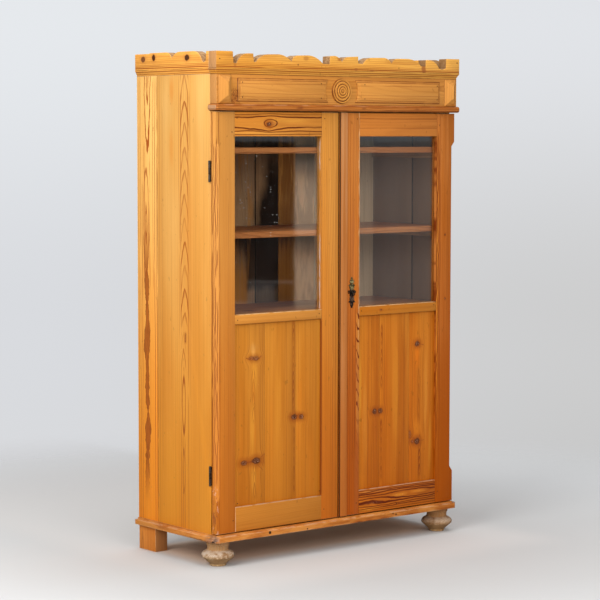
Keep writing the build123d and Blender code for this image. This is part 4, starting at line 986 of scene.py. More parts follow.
wood("frieze_board", "frieze", "xzy", 0.0010, seed=71.0, sp=0.0050, pa=0.02, pt=-0.05, slope=0.01, gain=0.35, streak=0.5,
     low=0.0, extra=chain(frieze_extra, seam(1.5155, 2, 0.0022, 0.8), seam(1.6115, 2, 0.0018, 0.7)), end=(0.56, 0.255, 0.075))
def plaque_lines(hl, ha):
    def f(g, A, T, L, xyz, col, rough):
        d = g.math("MINIMUM", ha - g.abs(A), hl - g.abs(L))
        n = g.noise(g.vec(xyz[0] * 24, 5.0, xyz[2] * 24), detail=3)
        for at, w, k in ((0.0004, 0.0030, 0.95), (0.0072, 0.0016, 0.70), (0.0048, 0.0008, 0.35)):
            m = (1.0 - g.smooth(g.abs(d - at), w * 0.35, w)) * (g.smooth(n, 0.30, 0.55) * 0.5 + 0.5)
            col = g.mix(m * k, col, (0.17, 0.040, 0.008))
        return col, rough
    return f


PLQ = {}
for n in ("frieze_panel_left", "frieze_panel_right"):
    a_, b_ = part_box(n)
    PLQ[n] = plaque_lines((b_[0] - a_[0]) / 2, (b_[2] - a_[2]) / 2)
for n, sd in (("frieze_panel_left", 73.0), ("frieze_panel_right", 75.0)):
    wood(n, "frieze", "xzy", 0.0007, seed=sd, sp=0.0060, pa=0.03, pt=-0.10, slope=0.012, gain=0.16, streak=0.34, low=0.0,
         extra=PLQ[n], tmix=0.7, strands=((0.020, 0.008, 2.0, 0.0010, 0.45, None, 0), (-0.012, 0.010, 2.0, 0.0010, 0.4, None, 0),
                                                (-0.024, 0.008, 2.0, 0.0010, 0.4, None, 0)))
wood("corner_block_left", "frieze", "zxy", 0.0008, seed=77.0, gain=0.2, low=0.0, tmix=0.6, dirt=0.8, end=(0.70, 0.305, 0.056))
wood("corner_block_right", "frieze", "zxy", 0.0008, seed=79.0, gain=0.2, low=0.0, tmix=0.6, dirt=0.8, end=(0.70, 0.305, 0.056))


def mould_extra(g, A, T, L, xyz, col, rough):
    x, y, z = xyz
    for (cx, rx, rz, k) in ((-0.1917, 0.020, 0.006, 0.85), (0.090, 0.013, 0.005, 0.6), (-0.402, 0.016, 0.004, 0.5),
                            (0.332, 0.018, 0.005, 0.55)):
        n = g.noise(g.vec(x * 90, y * 60, z * 120), detail=3)
        dx, dz = (x - cx) / rx, (z - 1.5045) / rz
        col = g.mix((1.0 - g.smooth(g.sqrt(dx * dx + dz * dz) + (n - 0.5) * 1.2, 0.3, 1.1)) * k, col, (0.20, 0.050, 0.012))
    # painted highlight: a pale line along the moulding's top
    top = g.smooth(z, 1.5085, 1.5140)
    n = g.noise(g.vec(x * 16, y * 60, 3.0), detail=3)
    col = g.mix(top * g.smooth(n, 0.46, 0.62) * 0.35, col, (0.66, 0.34, 0.16))
    return col, rough


# the two seams on the moulding are painted shade lines in its grooves, not joints
wood("mid_moulding", "base", "xzy", 0.0, seed=81.0, sp=0.0045, pa=0.01, pt=-0.03, slope=0.008, gain=0.35, streak=0.5,
     low=0.0, extra=chain(mould_extra, seam(1.4945, 2, 0.0022, 0.9), seam(1.5005, 2, 0.0012, 0.7)), end=(0.50, 0.265, 0.130), tmix=0.6,
     strands=((0.0065, 0.003, 3.0, 0.0011, 0.9, None, 0), (0.001, 0.005, 3.0, 0.0009, 0.7, None, 0), (-0.006, 0.004, 3.0, 0.0010, 0.8, None, 0)))
for n, o, sd in (("cornice_front", "xzy", 83.0), ("cornice_left", "yzx", 85.0), ("cornice_right", "yzx", 87.0)):
    wood(n, "crest_s" if n == "cornice_left" else "crest", o, 0.0004, seed=sd, gain=0.25, streak=0.5, low=0.25, sp=0.0080, end=(0.52, 0.260, 0.100),
         extra=chain(seam(1.6305, 2, 0.0018, 0.85), seam(1.6128, 2, 0.0016, 0.7)),
         strands=((0.003, 0.005, 1.4, 0.0012, 0.85, None, 0), (-0.004, 0.004, 1.6, 0.0012, 0.7, None, 0)))


def crest_front_extra(g, A, T, L, xyz, col, rough):
    x, y, z = xyz
    # dark brown patches along the top edge
    n = g.noise(g.vec(x * 60, y * 60, z * 60), detail=3)
    for (cx, cz, rx, rz, k) in ((-0.162, 1.668, 0.013, 0.009, 0.5), (0.056, 1.6362, 0.010, 0.006, 0.55),
                                (-0.196, 1.6469, 0.0032, 0.0032, 1.0), (0.524, 1.6684, 0.003, 0.003, 0.9),
                                (-0.458, 1.6405, 0.007, 0.010, 0.45), (-0.010, 1.6690, 0.018, 0.007, 0.7),
                                (0.366, 1.643, 0.012, 0.022, 0.8), (0.128, 1.6345, 0.014, 0.004, 0.6)):
        dx, dz = (x - cx) / rx, (z - cz) / rz
        col = g.mix((1.0 - g.smooth(g.sqrt(dx * dx + dz * dz) + (n - 0.5) * 0.8, 0.45, 1.1)) * k, col, (0.30, 0.085, 0.020))
    return col, rough


def cut_faces(lo_y, hi_y, axis):
    """Sawn, unwaxed curves on top of a crest board: everything that does not face sideways."""
    def f(g, A, T, L, xyz, col, rough):
        geo = g.node("ShaderNodeNewGeometry")
        sp = g.node("ShaderNodeSeparateXYZ")
        g.t.links.new(geo.outputs["True Normal"], sp.inputs[0])
        nrm = [Val(g, sp.outputs[i]) for i in range(3)]
        flat = g.abs(nrm[axis])
        k = (1.0 - g.smooth(flat, 0.35, 0.7)) * g.smooth(xyz[2], 1.633, 1.640) * g.smooth(g.abs(xyz[0]), 0.5346, 0.5338 if axis else 0.5300)
        n = g.noise(g.vec(xyz[0] * 130, xyz[1] * 130, xyz[2] * 130), detail=3)
        grey = g.mix(g.smooth(n, 0.35, 0.65), (0.36, 0.235, 0.135), (0.19, 0.105, 0.050))
        grey = g.mix(g.smooth(xyz[0], 0.0, 0.45) * 0.7, grey, (0.115, 0.055, 0.024))
        return g.mix(k * 0.85, col, grey), rough + k * 0.3
    return f


CS = tuple((a, amp, 1.8, w, k, None, 0) for a, amp, w, k in
           ((-0.0225, 0.003, 0.0014, 1.0), (-0.0175, 0.005, 0.0010, 0.75), (-0.012, 0.006, 0.0009, 0.6), (-0.006, 0.007, 0.0008, 0.45),
            (0.000, 0.008, 0.0008, 0.40), (0.007, 0.008, 0.0008, 0.40), (0.014, 0.008, 0.0008, 0.35)))
wood("crest_front", "crest", "xzy", 0.0010, seed=91.0, sp=0.0090, pa=0.010, pt=-0.06, slope=0.012, wa=0.02, gain=0.25,
     streak=0.5, low=0.0, extra=chain(crest_front_extra, cut_faces(0, 0, 1)), end=(0.50, 0.250, 0.100), strands=CS)


def side_crest_knots(g, A, T, L, xyz, col, rough):
    x, y, z = xyz
    for (cy, cz, ry, rz, k, c) in ((332.9, 1671.3, 10.5, 12.5, 1.0, (0.075, 0.022, 0.008)),
                                   (144.3, 1666.8, 14.5, 11.5, 1.0, (0.085, 0.026, 0.010)),
                                   (394.0, 1667.0, 14.0, 11.0, 0.92, (0.15, 0.050, 0.020))):
        dy, dz = (y - (cy - YC) / 1000) / (ry / 1000), (z - cz / 1000) / (rz / 1000)
        n = g.noise(g.vec(2.0, y * 160, z * 160), detail=3)
        d = g.sqrt(dy * dy + dz * dz) + (n - 0.5) * 0.5
        col = g.mix((1.0 - g.smooth(d, 0.8, 2.2)) * 0.4 * k, col, (0.50, 0.17, 0.035))
        col = g.mix((1.0 - g.smooth(d, 0.70, 1.05)) * k, col, c)
    return col, rough


wood("crest_left", "crest_s", "yzx", 0.0010, seed=93.0, sp=0.0090, pa=-0.01, pt=-0.06, slope=0.010, gain=0.25, streak=0.5,
     low=0.0, tmix=0.9, strands=CS, extra=chain(cut_faces(0, 0, 0), side_crest_knots), end=(0.60, 0.36, 0.21))
wood("crest_right", "crest", "yzx", 0.0010, seed=95.0, sp=0.0090, pa=0.01, pt=-0.06, slope=-0.010, gain=0.25, streak=0.5,
     low=0.0, strands=CS, extra=cut_faces(0, 0, 0), end=(0.60, 0.36, 0.21))


def base_extra(g, A, T, L, xyz, col, rough):
    x, y, z = xyz
    # uneven old stain, chips and rubbed places along both steps
    n = g.noise(g.vec(x * 26, y * 26, z * 60), detail=4, rough=0.65)
    m = g.noise(g.vec(x * 9, y * 9, z * 40), detail=4, rough=0.6)
    col = g.mix(g.smooth(m, 0.44, 0.60) * 0.55, col, (0.66, 0.270, 0.055))
    col = g.mix(g.smooth(m, 0.46, 0.34) * 0.60, col, (0.30, 0.075, 0.012))
    d1 = g.abs(z - 0.1025)
    k = g.smooth(d1 + (n - 0.5) * 0.006, 0.0034, 0.0006) * g.smooth(n, 0.40, 0.55)
    col = g.mix(k * 0.50, col, (0.62, 0.38, 0.21))
    k = g.smooth(z + (n - 0.5) * 0.012, 0.0895, 0.0858) * g.smooth(m, 0.44, 0.58)
    col = g.mix(k * 0.38, col, (0.60, 0.35, 0.17))
    k = g.smooth(z + (n - 0.5) * 0.010, 0.0890, 0.0862) * g.smooth(m, 0.42, 0.34)
    col = g.mix(k * 0.8, col, (0.10, 0.032, 0.010))
    for (hx, hz, r) in ((-0.316, 0.0962, 0.0060), (0.2447, 0.0935, 0.0034), (0.2306, 0.0985, 0.0034), (-0.155, 0.0900, 0.0030),
                        (-0.5350, 0.0945, 0.0058), (-0.5405, 0.0880, 0.0046), (0.5335, 0.0960, 0.0065)):
        dx, dz = (x - hx) / r, (z - hz) / r
        inner = (1.0 - g.smooth(g.sqrt(dx * dx + dz * dz) + (n - 0.5) * 0.9, 0.6, 1.15)) * g.smooth(y, 0.0, -0.10)
        col = g.mix(inner * 0.97, col, (0.022, 0.008, 0.004))
    # grey-pink bare corner
    cdist = g.abs(x) - 0.522
    k = g.smooth(cdist, 0.0, 0.007) * g.smooth(y, -0.16, -0.20) * g.smooth(n, 0.34, 0.52)
    col = g.mix(k * 0.75, col, g.mix(g.smooth(m, 0.4, 0.6), (0.40, 0.25, 0.18), (0.17, 0.075, 0.040)))
    return col, rough


for n, o, sd in (("base_moulding_front", "xzy", 101.0), ("base_moulding_left", "yzx", 103.0), ("base_moulding_right", "yzx", 105.0)):
    wood(n, "base", o, 0.0014, seed=sd, sp=0.0040, pa=0.02, pt=-0.03, slope=0.008, gain=0.5, streak=0.6, low=0.0,
         extra=base_extra, end=(0.50, 0.30, 0.18))
def foot_front_shade(g, A, T, L, xyz, col, rough):
    # painted shade: the foot's front face, in the cabinet's shadow, darker and browner than its side
    k = g.smooth(xyz[1], (344.5 - YC) / 1000, (343.2 - YC) / 1000)
    return g.mix(k * 0.62, col, (0.19, 0.100, 0.045)), rough


wood("rear_foot_left", "foot", "zyx", 0.0014, seed=107.0, gain=0.6, low=0.0, edge=0.4, edge_w=0.003, sp=0.006,
     tmix=0.7, pa=0.03, end=(0.34, 0.19, 0.10), extra=foot_front_shade)
wood("rear_foot_right", "base", "zyx", 0.0014, seed=109.0, gain=0.6, low=0.0, edge=0.5, edge_w=0.003, sp=0.006,
     tmix=0.7, pa=0.03, end=(0.40, 0.24, 0.13))

# =====================================================================
# turned rosette
# =====================================================================
ROS = mm(-3.0, -7.0, 1562.5)
ros = [(0, 10.6), (1.6, 10.9), (3.0, 10.4), (4.2, 8.6), (5.6, 8.0), (7.6, 8.6), (9.6, 9.8), (11.2, 10.0), (12.4, 9.2), (13.4, 7.9),
       (14.6, 7.6), (16.6, 8.5), (18.6, 9.1), (20.2, 8.8), (21.4, 7.3), (22.8, 6.7), (24.6, 7.1), (27.2, 8.1), (29.6, 8.3),
       (31.4, 7.6), (32.8, 6.0), (34.4, 5.4), (36.2, 5.9), (38.4, 6.6), (40.2, 6.0), (41.4, 4.2), (42.0, 2.2), (42.0, 0.0)]


def ros_wobble(r, h, a, j):
    k = 0.35 * noise.noise(Vector((math.cos(a) * 1.6, math.sin(a) * 1.6, r * 240))) / 1000
    return r, max(h + k, 0.0)


def rosette_extra(g, A, T, L, xyz, col, rough):
    x, y, z = xyz
    # darker lines in the turned grooves
    dx, dz = x + 0.003, z - 1.5625
    rr = g.sqrt(dx * dx + dz * dz)
    n = g.noise(g.vec(x * 60, 3.0, z * 60), detail=3)
    for r0, w, kk in ((0.0052, 0.0016, 0.8), (0.0144, 0.0019, 0.9), (0.0232, 0.0020, 0.9), (0.0338, 0.0023, 0.95), (0.0418, 0.0020, 0.95)):
        m = 1.0 - g.smooth(g.abs(rr - r0), w * 0.4, w * 1.15)
        col = g.mix(m * kk * (g.smooth(n, 0.30, 0.60) * 0.35 + 0.65), col, (0.13, 0.028, 0.005))
    return col, rough


lo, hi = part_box("rosette")
ros_mat = pine_material("pine_rosette", "door_l", "zxy", lo, hi, seed=111.0, gain=0.25, low=0.0, streak=0.25, tmix=0.8,
                        end=(0.60, 0.21, 0.03), extra=rosette_extra)
o = lathe("rosette_turned", [(r / 1000, h / 1000) for r, h in smooth_profile(ros, 4)], ROS, (0, -1, 0), ros_mat,
          "root", segs=128, wobble=ros_wobble, angle=60)
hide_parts("rosette")

# =====================================================================
# bun feet: bare, rubbed wood with bruised rims
# =====================================================================
def foot_material(name, cx, seed, shade):
    m, g = new_material(name)
    x, y, z = g.xyz()
    dx, dy = x - cx, y - (41.0 - YC) / 1000
    # end-on grain: rings show on the sloping faces, streaks run round the bulb's side
    r = g.sqrt((dx + 0.02) * (dx + 0.02) + (dy - 0.035) * (dy - 0.035))
    r = r + (g.noise(g.vec(x * 30, y * 30, z * 9 + seed), detail=2) - 0.5) * 0.006
    fr = g.math("FRACT", r / 0.0042)
    line = g.smooth(fr, 0.25, 0.8) * (1.0 - g.smooth(fr, 0.85, 0.98))
    blot = g.noise(g.vec(x * 38 + seed, y * 38, z * 60), detail=4, rough=0.6)
    fine = g.noise(g.vec(x * 420, y * 420, z * 60), detail=3, rough=0.6)
    col = g.mix(g.smooth(blot, 0.35, 0.66), (0.50, 0.335, 0.185), (0.33, 0.185, 0.085))
    # pale rubbed shoulder, yellower underside, orange neck
    sh = g.smooth(z, 0.033, 0.040) * g.smooth(z, 0.056, 0.050)
    col = g.mix(sh * g.smooth(blot, 0.66, 0.40) * 0.90, col, (0.62, 0.49, 0.38))
    under = g.smooth(z, 0.034, 0.026)
    col = g.mix(under * 0.55, col, (0.40, 0.235, 0.085))
    neck = g.smooth(z, 0.052, 0.057)
    col = g.mix(neck * 0.70, col, g.mix(g.smooth(fine, 0.40, 0.60), (0.50, 0.235, 0.065), (0.44, 0.27, 0.13)))
    col = g.mix(line * 0.28, col, (0.22, 0.105, 0.045))
    chips = g.noise(g.vec(x * 120, y * 120, z * 150 + seed), detail=3)
    rim = 1.0 - g.smooth(g.abs(z - 0.0325), 0.002, 0.007)
    col = g.mix(g.smooth(chips, 0.56, 0.66) * rim * 0.8, col, (0.70, 0.50, 0.34))
    col = g.mix(g.smooth(chips, 0.40, 0.30) * rim * 0.6, col, (0.16, 0.085, 0.045))
    sole = g.smooth(z, 0.0085, 0.0040)
    col = g.mix(sole * g.smooth(chips, 0.45, 0.6) * 0.7, col, (0.66, 0.48, 0.26))
    col = g.mix(g.smooth(z, 0.0016, 0.0004) * 0.6, col, (0.12, 0.08, 0.05))
    col = g.mix(1.0, col, shade, "MULTIPLY")
    principled(g, col, fine * 0.15 + 0.62, g.bump(fine * 0.6 + blot * 0.6, 0.5, 0.0011), Specular_IOR_Level=0.3)
    return m


bun = [(0.0, 0.0), (25.2, 0.0), (25.2, 0.0), (26.8, 1.4), (27.2, 3.6), (27.0, 6.6), (28.8, 8.6), (31.8, 11.2), (36.4, 15.4), (43.6, 21.8),
       (50.6, 27.8), (53.6, 31.2), (54.7, 34.6), (54.4, 38.0), (52.9, 41.8), (50.4, 45.2), (46.6, 48.2), (42.2, 50.6), (38.4, 52.6),
       (36.2, 54.8), (35.4, 58.0), (35.4, 63.0), (36.0, 67.4), (37.6, 70.6), (39.0, 72.6), (39.2, 75.4), (38.4, 77.6), (38.4, 85.0), (38.4, 85.0), (0.0, 85.0)]
for name, sx, seed in (("bun_foot_left", -1, 3.0), ("bun_foot_right", 1, 8.0)):
    rnd = random.Random(int(seed))
    dents = [(rnd.uniform(0, 6.28), rnd.uniform(0.10, 0.34), rnd.uniform(0.8, 2.6)) for _ in range(9)]

    def wob(r, h, a, j, seed=seed, dents=dents):
        if r < 0.024 or h > 0.0845:
            return r, h
        q = Vector((math.cos(a), math.sin(a), h * 40 + seed))
        rr = r + 0.0009 * noise.noise(q * 1.7) + 0.0005 * noise.noise(Vector((math.cos(a) * 7, math.sin(a) * 7, h * 160 + seed)))
        rim = math.exp(-((h - 0.0340) / 0.0050) ** 2)
        for da, w, dep in dents:
            d = abs((a - da + math.pi) % (2 * math.pi) - math.pi) / w
            rr -= rim * dep / 1000 * math.exp(-d * d * 2.2)
        return min(rr, 0.0548), h

    prof = [(r / 1000, h / 1000) for r, h in smooth_profile(bun, 4)]
    mat = foot_material("bare_" + name, sx * 0.490, seed, (0.84, 0.82, 0.80) if sx < 0 else (0.74, 0.66, 0.58))
    o = lathe(name + "_turned", prof, mm(sx * 490.0, 41.0, 0.0), (0, 0, 1), mat, "root", segs=120,
              wobble=wob, angle=55)
    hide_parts(name)

# =====================================================================
# ironwork
# =====================================================================
hinge_mat = metal_material("aged_hinge_iron", (0.19, 0.165, 0.140), rough=0.46, rust=0.75, rust_color=(0.055, 0.030, 0.018))
dark_iron = metal_material("dark_lock_iron", (0.075, 0.068, 0.060), rough=0.50, rust=0.40)
nail_mat = metal_material("nail_iron", (0.050, 0.036, 0.028), rough=0.62, rust=0.5)
key_mat = metal_material("rubbed_key_iron", (0.045, 0.038, 0.030), rough=0.42, rust=0.45)
for n in ("carcass_hinge_leaves", "left_door_hinge_leaves", "right_door_hinge_leaves", "hinge_pins"):
    NODES[n].data.materials.clear()
    NODES[n].data.materials.append(hinge_mat)
hinge_door = metal_material("aged_hinge_iron_door", (0.12, 0.090, 0.066), rough=0.52, rust=0.9, rust_color=(0.040, 0.020, 0.012))
for n in ("left_door_hinge_leaves", "right_door_hinge_leaves"):
    NODES[n].data.materials.clear()
    NODES[n].data.materials.append(hinge_door)
for n in ("lock_case", "lock_bolt", "lock_keeper", "bolt_plates", "top_bolt", "bottom_bolt"):
    NODES[n].data.materials.clear()
    NODES[n].data.materials.append(dark_iron)
NODES["frieze_nails"].data.materials.clear()
NODES["frieze_nails"].data.materials.append(nail_mat)


def heads(name, body, spots, axis, mat, slotted=False):
    """Small domed heads, one mesh per body; each spot is (point, radius, height)."""
    axis = Vector(axis).normalized()
    u = axis.orthogonal().normalized()
    v = axis.cross(u)
    bm = bmesh.new()
    for p, r, h in spots:
        rings = []
        for (fr_, fh) in ((1.0, -0.25), (1.0, 0.25), (0.86, 0.66), (0.55, 0.92)):
            rings.append([bm.verts.new(p + axis * (h * fh) + (u * math.cos(t * math.pi / 8) + v * math.sin(t * math.pi / 8)) * r * fr_)
                          for t in range(16)])
        top = bm.verts.new(p + axis * h)
        bot = bm.verts.new(p - axis * h * 0.25)
        for a, b in zip(rings[:-1], rings[1:]):
            for i in range(16):
                k = (i + 1) % 16
                bm.faces.new((a[i], a[k], b[k], b[i]))
        for i in range(16):
            k = (i + 1) % 16
            bm.faces.new((rings[-1][i], rings[-1][k], top))
            bm.faces.new((rings[0][k], rings[0][i], bot))
    return finish_mesh(bm, name, mat, body, 60)


heads("left_door_peg_nails", "left_door",
      [(mm(x, 0.0, z), 0.0019, 0.0006) for x, z in ((-438, 811), (-92, 815), (-440, 1470), (-460, 1425), (-440, 205), (-90, 210),
                                                    (-458, 150), (-70, 145), (-70, 1470))], (0, -1, 0), nail_mat)
heads("right_door_peg_nails", "right_door",
      [(mm(x, 0.0, z), 0.0019, 0.0006) for x, z in ((96, 814), (433, 818), (455, 1450), (455, 150), (75, 150), (75, 1470),
                                                    (260, 128))], (0, -1, 0), nail_mat)
heads("crest_nails", "root", [(mm(x, -14.0, z), 0.0020, 0.0007) for x, z in ((-196, 1647), (524, 1668), (-520, 1660), (250, 1645))],
      (0, -1, 0), nail_mat)

# hinge screws, three in each leaf, countersunk, on the faces that show when a door stands open
leaf_spots_l, leaf_spots_r, carc = [], [], []
for z0, z1 in ((271.0, 333.0), (1265.0, 1331.0)):
    for f in (0.17, 0.5, 0.83):
        z = z0 + (z1 - z0) * f
        leaf_spots_l.append((mm(-512.0, 26.0, z), 0.0030, 0.0005))
        leaf_spots_r.append((mm(512.0, 26.0, z), 0.0030, 0.0005))
        if f != 0.5:
            carc.append((mm(-518.0, 28.0, z), 0.0028, 0.0005))
            carc.append((mm(518.0, 28.0, z), 0.0028, 0.0005))
heads("left_hinge_screws", "left_door", leaf_spots_l, (0, 1, 0), hinge_mat)
heads("right_hinge_screws", "right_door", leaf_spots_r, (0, 1, 0), hinge_mat)
heads("carcass_hinge_screws", "root", carc, (0, -1, 0), hinge_mat)
heads("lock_case_screws", "right_door", [(mm(x, 38.0, z), 0.0030, 0.0007) for x in (12.0, 66.0) for z in (853.0, 907.0)],
      (0, 1, 0), dark_iron)
heads("bolt_plate_screws", "left_door", [(mm(-44.0, 26.0, z), 0.0024, 0.0005) for z in (1358.0, 1410.0, 1480.0, 122.0, 190.0, 243.0)],
      (0, 1, 0), dark_iron)

# ---------------------------------------------------------------- cast lock plate
KX, KZ = 51.3, 879.0


def brass_material():
    m, g = new_material("dark_cast_brass")
    x, y, z = g.xyz()
    n1 = g.noise(g.vec(x * 330, y * 330, z * 330), detail=4, rough=0.65)
    n2 = g.noise(g.vec(x * 90, y * 90, z * 90), detail=3)
    up = g.smooth(z, 0.880, 0.900)
    base = g.mix(up * 0.85, (0.040, 0.018, 0.010), (0.150, 0.120, 0.032))
    col = g.mix(g.smooth(n1, 0.38, 0.58) * 0.92, base, (0.008, 0.005, 0.004))
    # the proud parts paler, yellow-green on the upper half: rubbed brass, with a painted highlight
    proud_rub_and_highlight = g.smooth(y, (-2.2 - YC) / 1000, (-3.2 - YC) / 1000)
    col = g.mix(proud_rub_and_highlight * g.smooth(n2, 0.40, 0.56) * 0.85, col, g.mix(up, (0.16, 0.090, 0.055), (0.46, 0.38, 0.16)))
    mid = 1.0 - g.smooth(g.abs(z - 0.879), 0.006, 0.011)
    col = g.mix(mid * 0.9, col, (0.010, 0.006, 0.004))
    principled(g, col, g.smooth(n1, 0.3, 0.7) * 0.22 + 0.34, g.bump(n1, 0.5, 0.0006), Metallic=0.35)
    return m


brass = brass_material()
bm = bmesh.new()


def ellipsoid(cx, cz, rx, rz, ry, y0=-0.6, seg=20):
    d = bmesh.ops.create_uvsphere(bm, u_segments=seg, v_segments=max(8, seg // 2), radius=1.0)
    mat = Matrix.Translation(mm(KX + cx, y0, KZ + cz)) @ Matrix.Diagonal((rx / 1000, ry / 1000, rz / 1000, 1.0))
    bmesh.ops.transform(bm, matrix=mat, verts=d["verts"])


def loop(cx, cz, R, r, y0=-1.2, squash=1.0):
    verts = []
    N, M = 28, 10
    for i in range(N):
        a = 2 * math.pi * i / N
        ring = []
        for j in range(M):
            b = 2 * math.pi * j / M
            rr = R + r * math.cos(b)
            ring.append(bm.verts.new(mm(KX + cx + rr * math.cos(a), y0 - r * 0.9 * math.sin(b), KZ + cz + rr * squash * math.sin(a))))
        verts.append(ring)
    for i in range(N):
        for j in range(M):
            bm.faces.new((verts[i][j], verts[(i + 1) % N][j], verts[(i + 1) % N][(j + 1) % M], verts[i][(j + 1) % M]))


ellipsoid(0, 51.0, 2.5, 2.8, 2.4)
ellipsoid(0, 46.0, 4.2, 4.6, 2.6)
ellipsoid(0, 36.5, 9.2, 8.6, 2.4)
ellipsoid(-5.4, 37.5, 3.2, 6.4, 3.3)
ellipsoid(5.4, 37.5, 3.2, 6.4, 3.3)
ellipsoid(0, 36.5, 1.6, 8.6, 4.1)
ellipsoid(-11.6, 24.6, 2.8, 2.6, 2.6)
ellipsoid(11.6, 24.6, 2.8, 2.6, 2.6)
ellipsoid(-8.0, 26.6, 3.6, 2.2, 2.2)
ellipsoid(8.0, 26.6, 3.6, 2.2, 2.2)
ellipsoid(0, 18.5, 10.8, 11.0, 2.5)
ellipsoid(-5.8, 18.0, 2.4, 8.8, 3.6)
ellipsoid(5.8, 18.0, 2.4, 8.8, 3.6)
ellipsoid(0, 2.0, 11.0, 11.0, 2.2)
ellipsoid(0, -8.0, 10.4, 10.0, 2.2)
loop(-13.4, 2.4, 3.2, 1.35, squash=1.35)
loop(13.4, 2.4, 3.2, 1.35, squash=1.35)
loop(0, 0.6, 6.4, 1.15, y0=-2.2, squash=1.5)
ellipsoid(0, -22.0, 10.4, 14.5, 2.3)
ellipsoid(-6.4, -22.0, 2.4, 13.0, 3.3)
ellipsoid(6.4, -22.0, 2.4, 13.0, 3.3)
ellipsoid(0, -25.0, 1.7, 11.0, 4.2)
ellipsoid(-11.4, -31.0, 2.6, 2.8, 2.4)
ellipsoid(11.4, -31.0, 2.6, 2.8, 2.4)
ellipsoid(-7.6, -32.5, 3.4, 2.4, 2.2)
ellipsoid(7.6, -32.5, 3.4, 2.4, 2.2)
ellipsoid(0, -40.0, 7.8, 8.0, 2.6)
ellipsoid(-3.8, -40.0, 1.8, 6.0, 3.4)
ellipsoid(3.8, -40.0, 1.8, 6.0, 3.4)
ellipsoid(0, -47.5, 4.4, 4.6, 2.7)
ellipsoid(0, -50.6, 2.6, 2.4, 2.4)
me = bpy.data.meshes.new("tmp_plate")
bm.to_mesh(me)
bm.free()
tmp = bpy.data.objects.new("tmp_plate", me)
bpy.context.scene.collection.objects.link(tmp)
rm = tmp.modifiers.new("r", "REMESH")
rm.mode = "VOXEL"
rm.voxel_size = 0.00042
sm = tmp.modifiers.new("s", "SMOOTH")
sm.factor, sm.iterations = 0.5, 3
# flat back on the door, and the keyhole through it
cut = bpy.data.meshes.new("tmp_cut")
cb = bmesh.new()
bmesh.ops.create_cube(cb, size=1.0, matrix=Matrix.Translation(mm(KX, 5.0, KZ)) @ Matrix.Diagonal((0.06, 0.0100, 0.14, 1.0)))
cb.to_mesh(cut)
cb.free()
cutter = bpy.data.objects.new("tmp_cut", cut)
bpy.context.scene.collection.objects.link(cutter)
hole = bpy.data.meshes.new("tmp_hole")
cb = bmesh.new()
bmesh.ops.create_cone(cb, cap_ends=True, segments=32, radius1=0.0037, radius2=0.0037, depth=0.03,
                      matrix=Matrix.Translation(mm(KX, 0, KZ)) @ Matrix.Rotation(math.pi / 2, 4, "X"))
cb.to_mesh(hole)
cb.free()
holer = bpy.data.objects.new("tmp_hole", hole)
bpy.context.scene.collection.objects.link(holer)
slit = bpy.data.meshes.new("tmp_slit")
cb = bmesh.new()
bmesh.ops.create_cube(cb, size=1.0, matrix=Matrix.Translation(mm(KX, 0, KZ - 6.5)) @ Matrix.Diagonal((0.0036, 0.028, 0.013, 1.0)))
cb.to_mesh(slit)
cb.free()
slitter = bpy.data.objects.new("tmp_slit", slit)
bpy.context.scene.collection.objects.link(slitter)
for ob in (cutter, holer, slitter):
    b = tmp.modifiers.new("b", "BOOLEAN")
    b.operation, b.solver, b.object = "DIFFERENCE", "MANIFOLD", ob
bpy.context.view_layer.update()
dg = bpy.context.evaluated_depsgraph_get()
plate = bpy.data.meshes.new_from_object(tmp.evaluated_get(dg))
bm = bmesh.new()
bm.from_mesh(plate)
bmesh.ops.remove_doubles(bm, verts=bm.verts, dist=1e-6)
for ob in (tmp, cutter, holer, slitter):
    bpy.data.objects.remove(ob)
o = finish_mesh(bm, "lock_plate_cast", brass, "right_door", 60)
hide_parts("escutcheon")
heads("lock_plate_pins", "right_door", [(mm(KX, -2.9, KZ + 27.5), 0.0013, 0.0007), (mm(KX, -2.6, KZ - 37.0), 0.0013, 0.0007)],
      (0, -1, 0), brass)

# ---------------------------------------------------------------- key
bm = bmesh.new()
by = -12.2
N, M = 44, 12
ringv = []
for i in range(N):
    a = 2 * math.pi * i / N
    ca, sa = math.cos(a), math.sin(a)
    # an oval drawn with its own normal, so the wire keeps one thickness
    py, pz = -4.75 * ca, 8.45 * sa
    nv = Vector((-ca / 4.75, sa / 8.45)).normalized()
    ring = []
    for j in range(M):
        b = 2 * math.pi * j / M
        rr = 1.45 * math.cos(b)
        ring.append(bm.verts.new(mm(KX + 1.6 * math.sin(b), by + py + nv.x * rr, KZ + pz + nv.y * rr)))
    ringv.append(ring)
for i in range(N):
    for j in range(M):
        bm.faces.new((ringv[i][j], ringv[(i + 1) % N][j], ringv[(i + 1) % N][(j + 1) % M], ringv[i][(j + 1) % M]))
prof = [(0.0, -8.4), (1.9, -8.2), (2.4, -7.4), (3.9, -6.5), (4.4, -5.8), (3.7, -5.2), (3.3, -4.9), (4.2, -4.4), (4.2, -3.8),
        (3.0, -3.4), (3.0, 34.6), (2.4, 35.6), (0.0, 35.8)]
S = 24
rings = []
for r, h in prof:
    if r == 0.0:
        rings.append([bm.verts.new(mm(KX, h, KZ))])
    else:
        rings.append([bm.verts.new(mm(KX + r * math.cos(2 * math.pi * i / S), h, KZ + r * math.sin(2 * math.pi * i / S))) for i in range(S)])
for a, b in zip(rings[:-1], rings[1:]):
    for i in range(S):
        k = (i + 1) % S
        if len(a) == 1:
            bm.faces.new((a[0], b[i], b[k]))
        elif len(b) == 1:
            bm.faces.new((a[i], b[0], a[k]))
        else:
            bm.faces.new((a[i], b[i], b[k], a[k]))
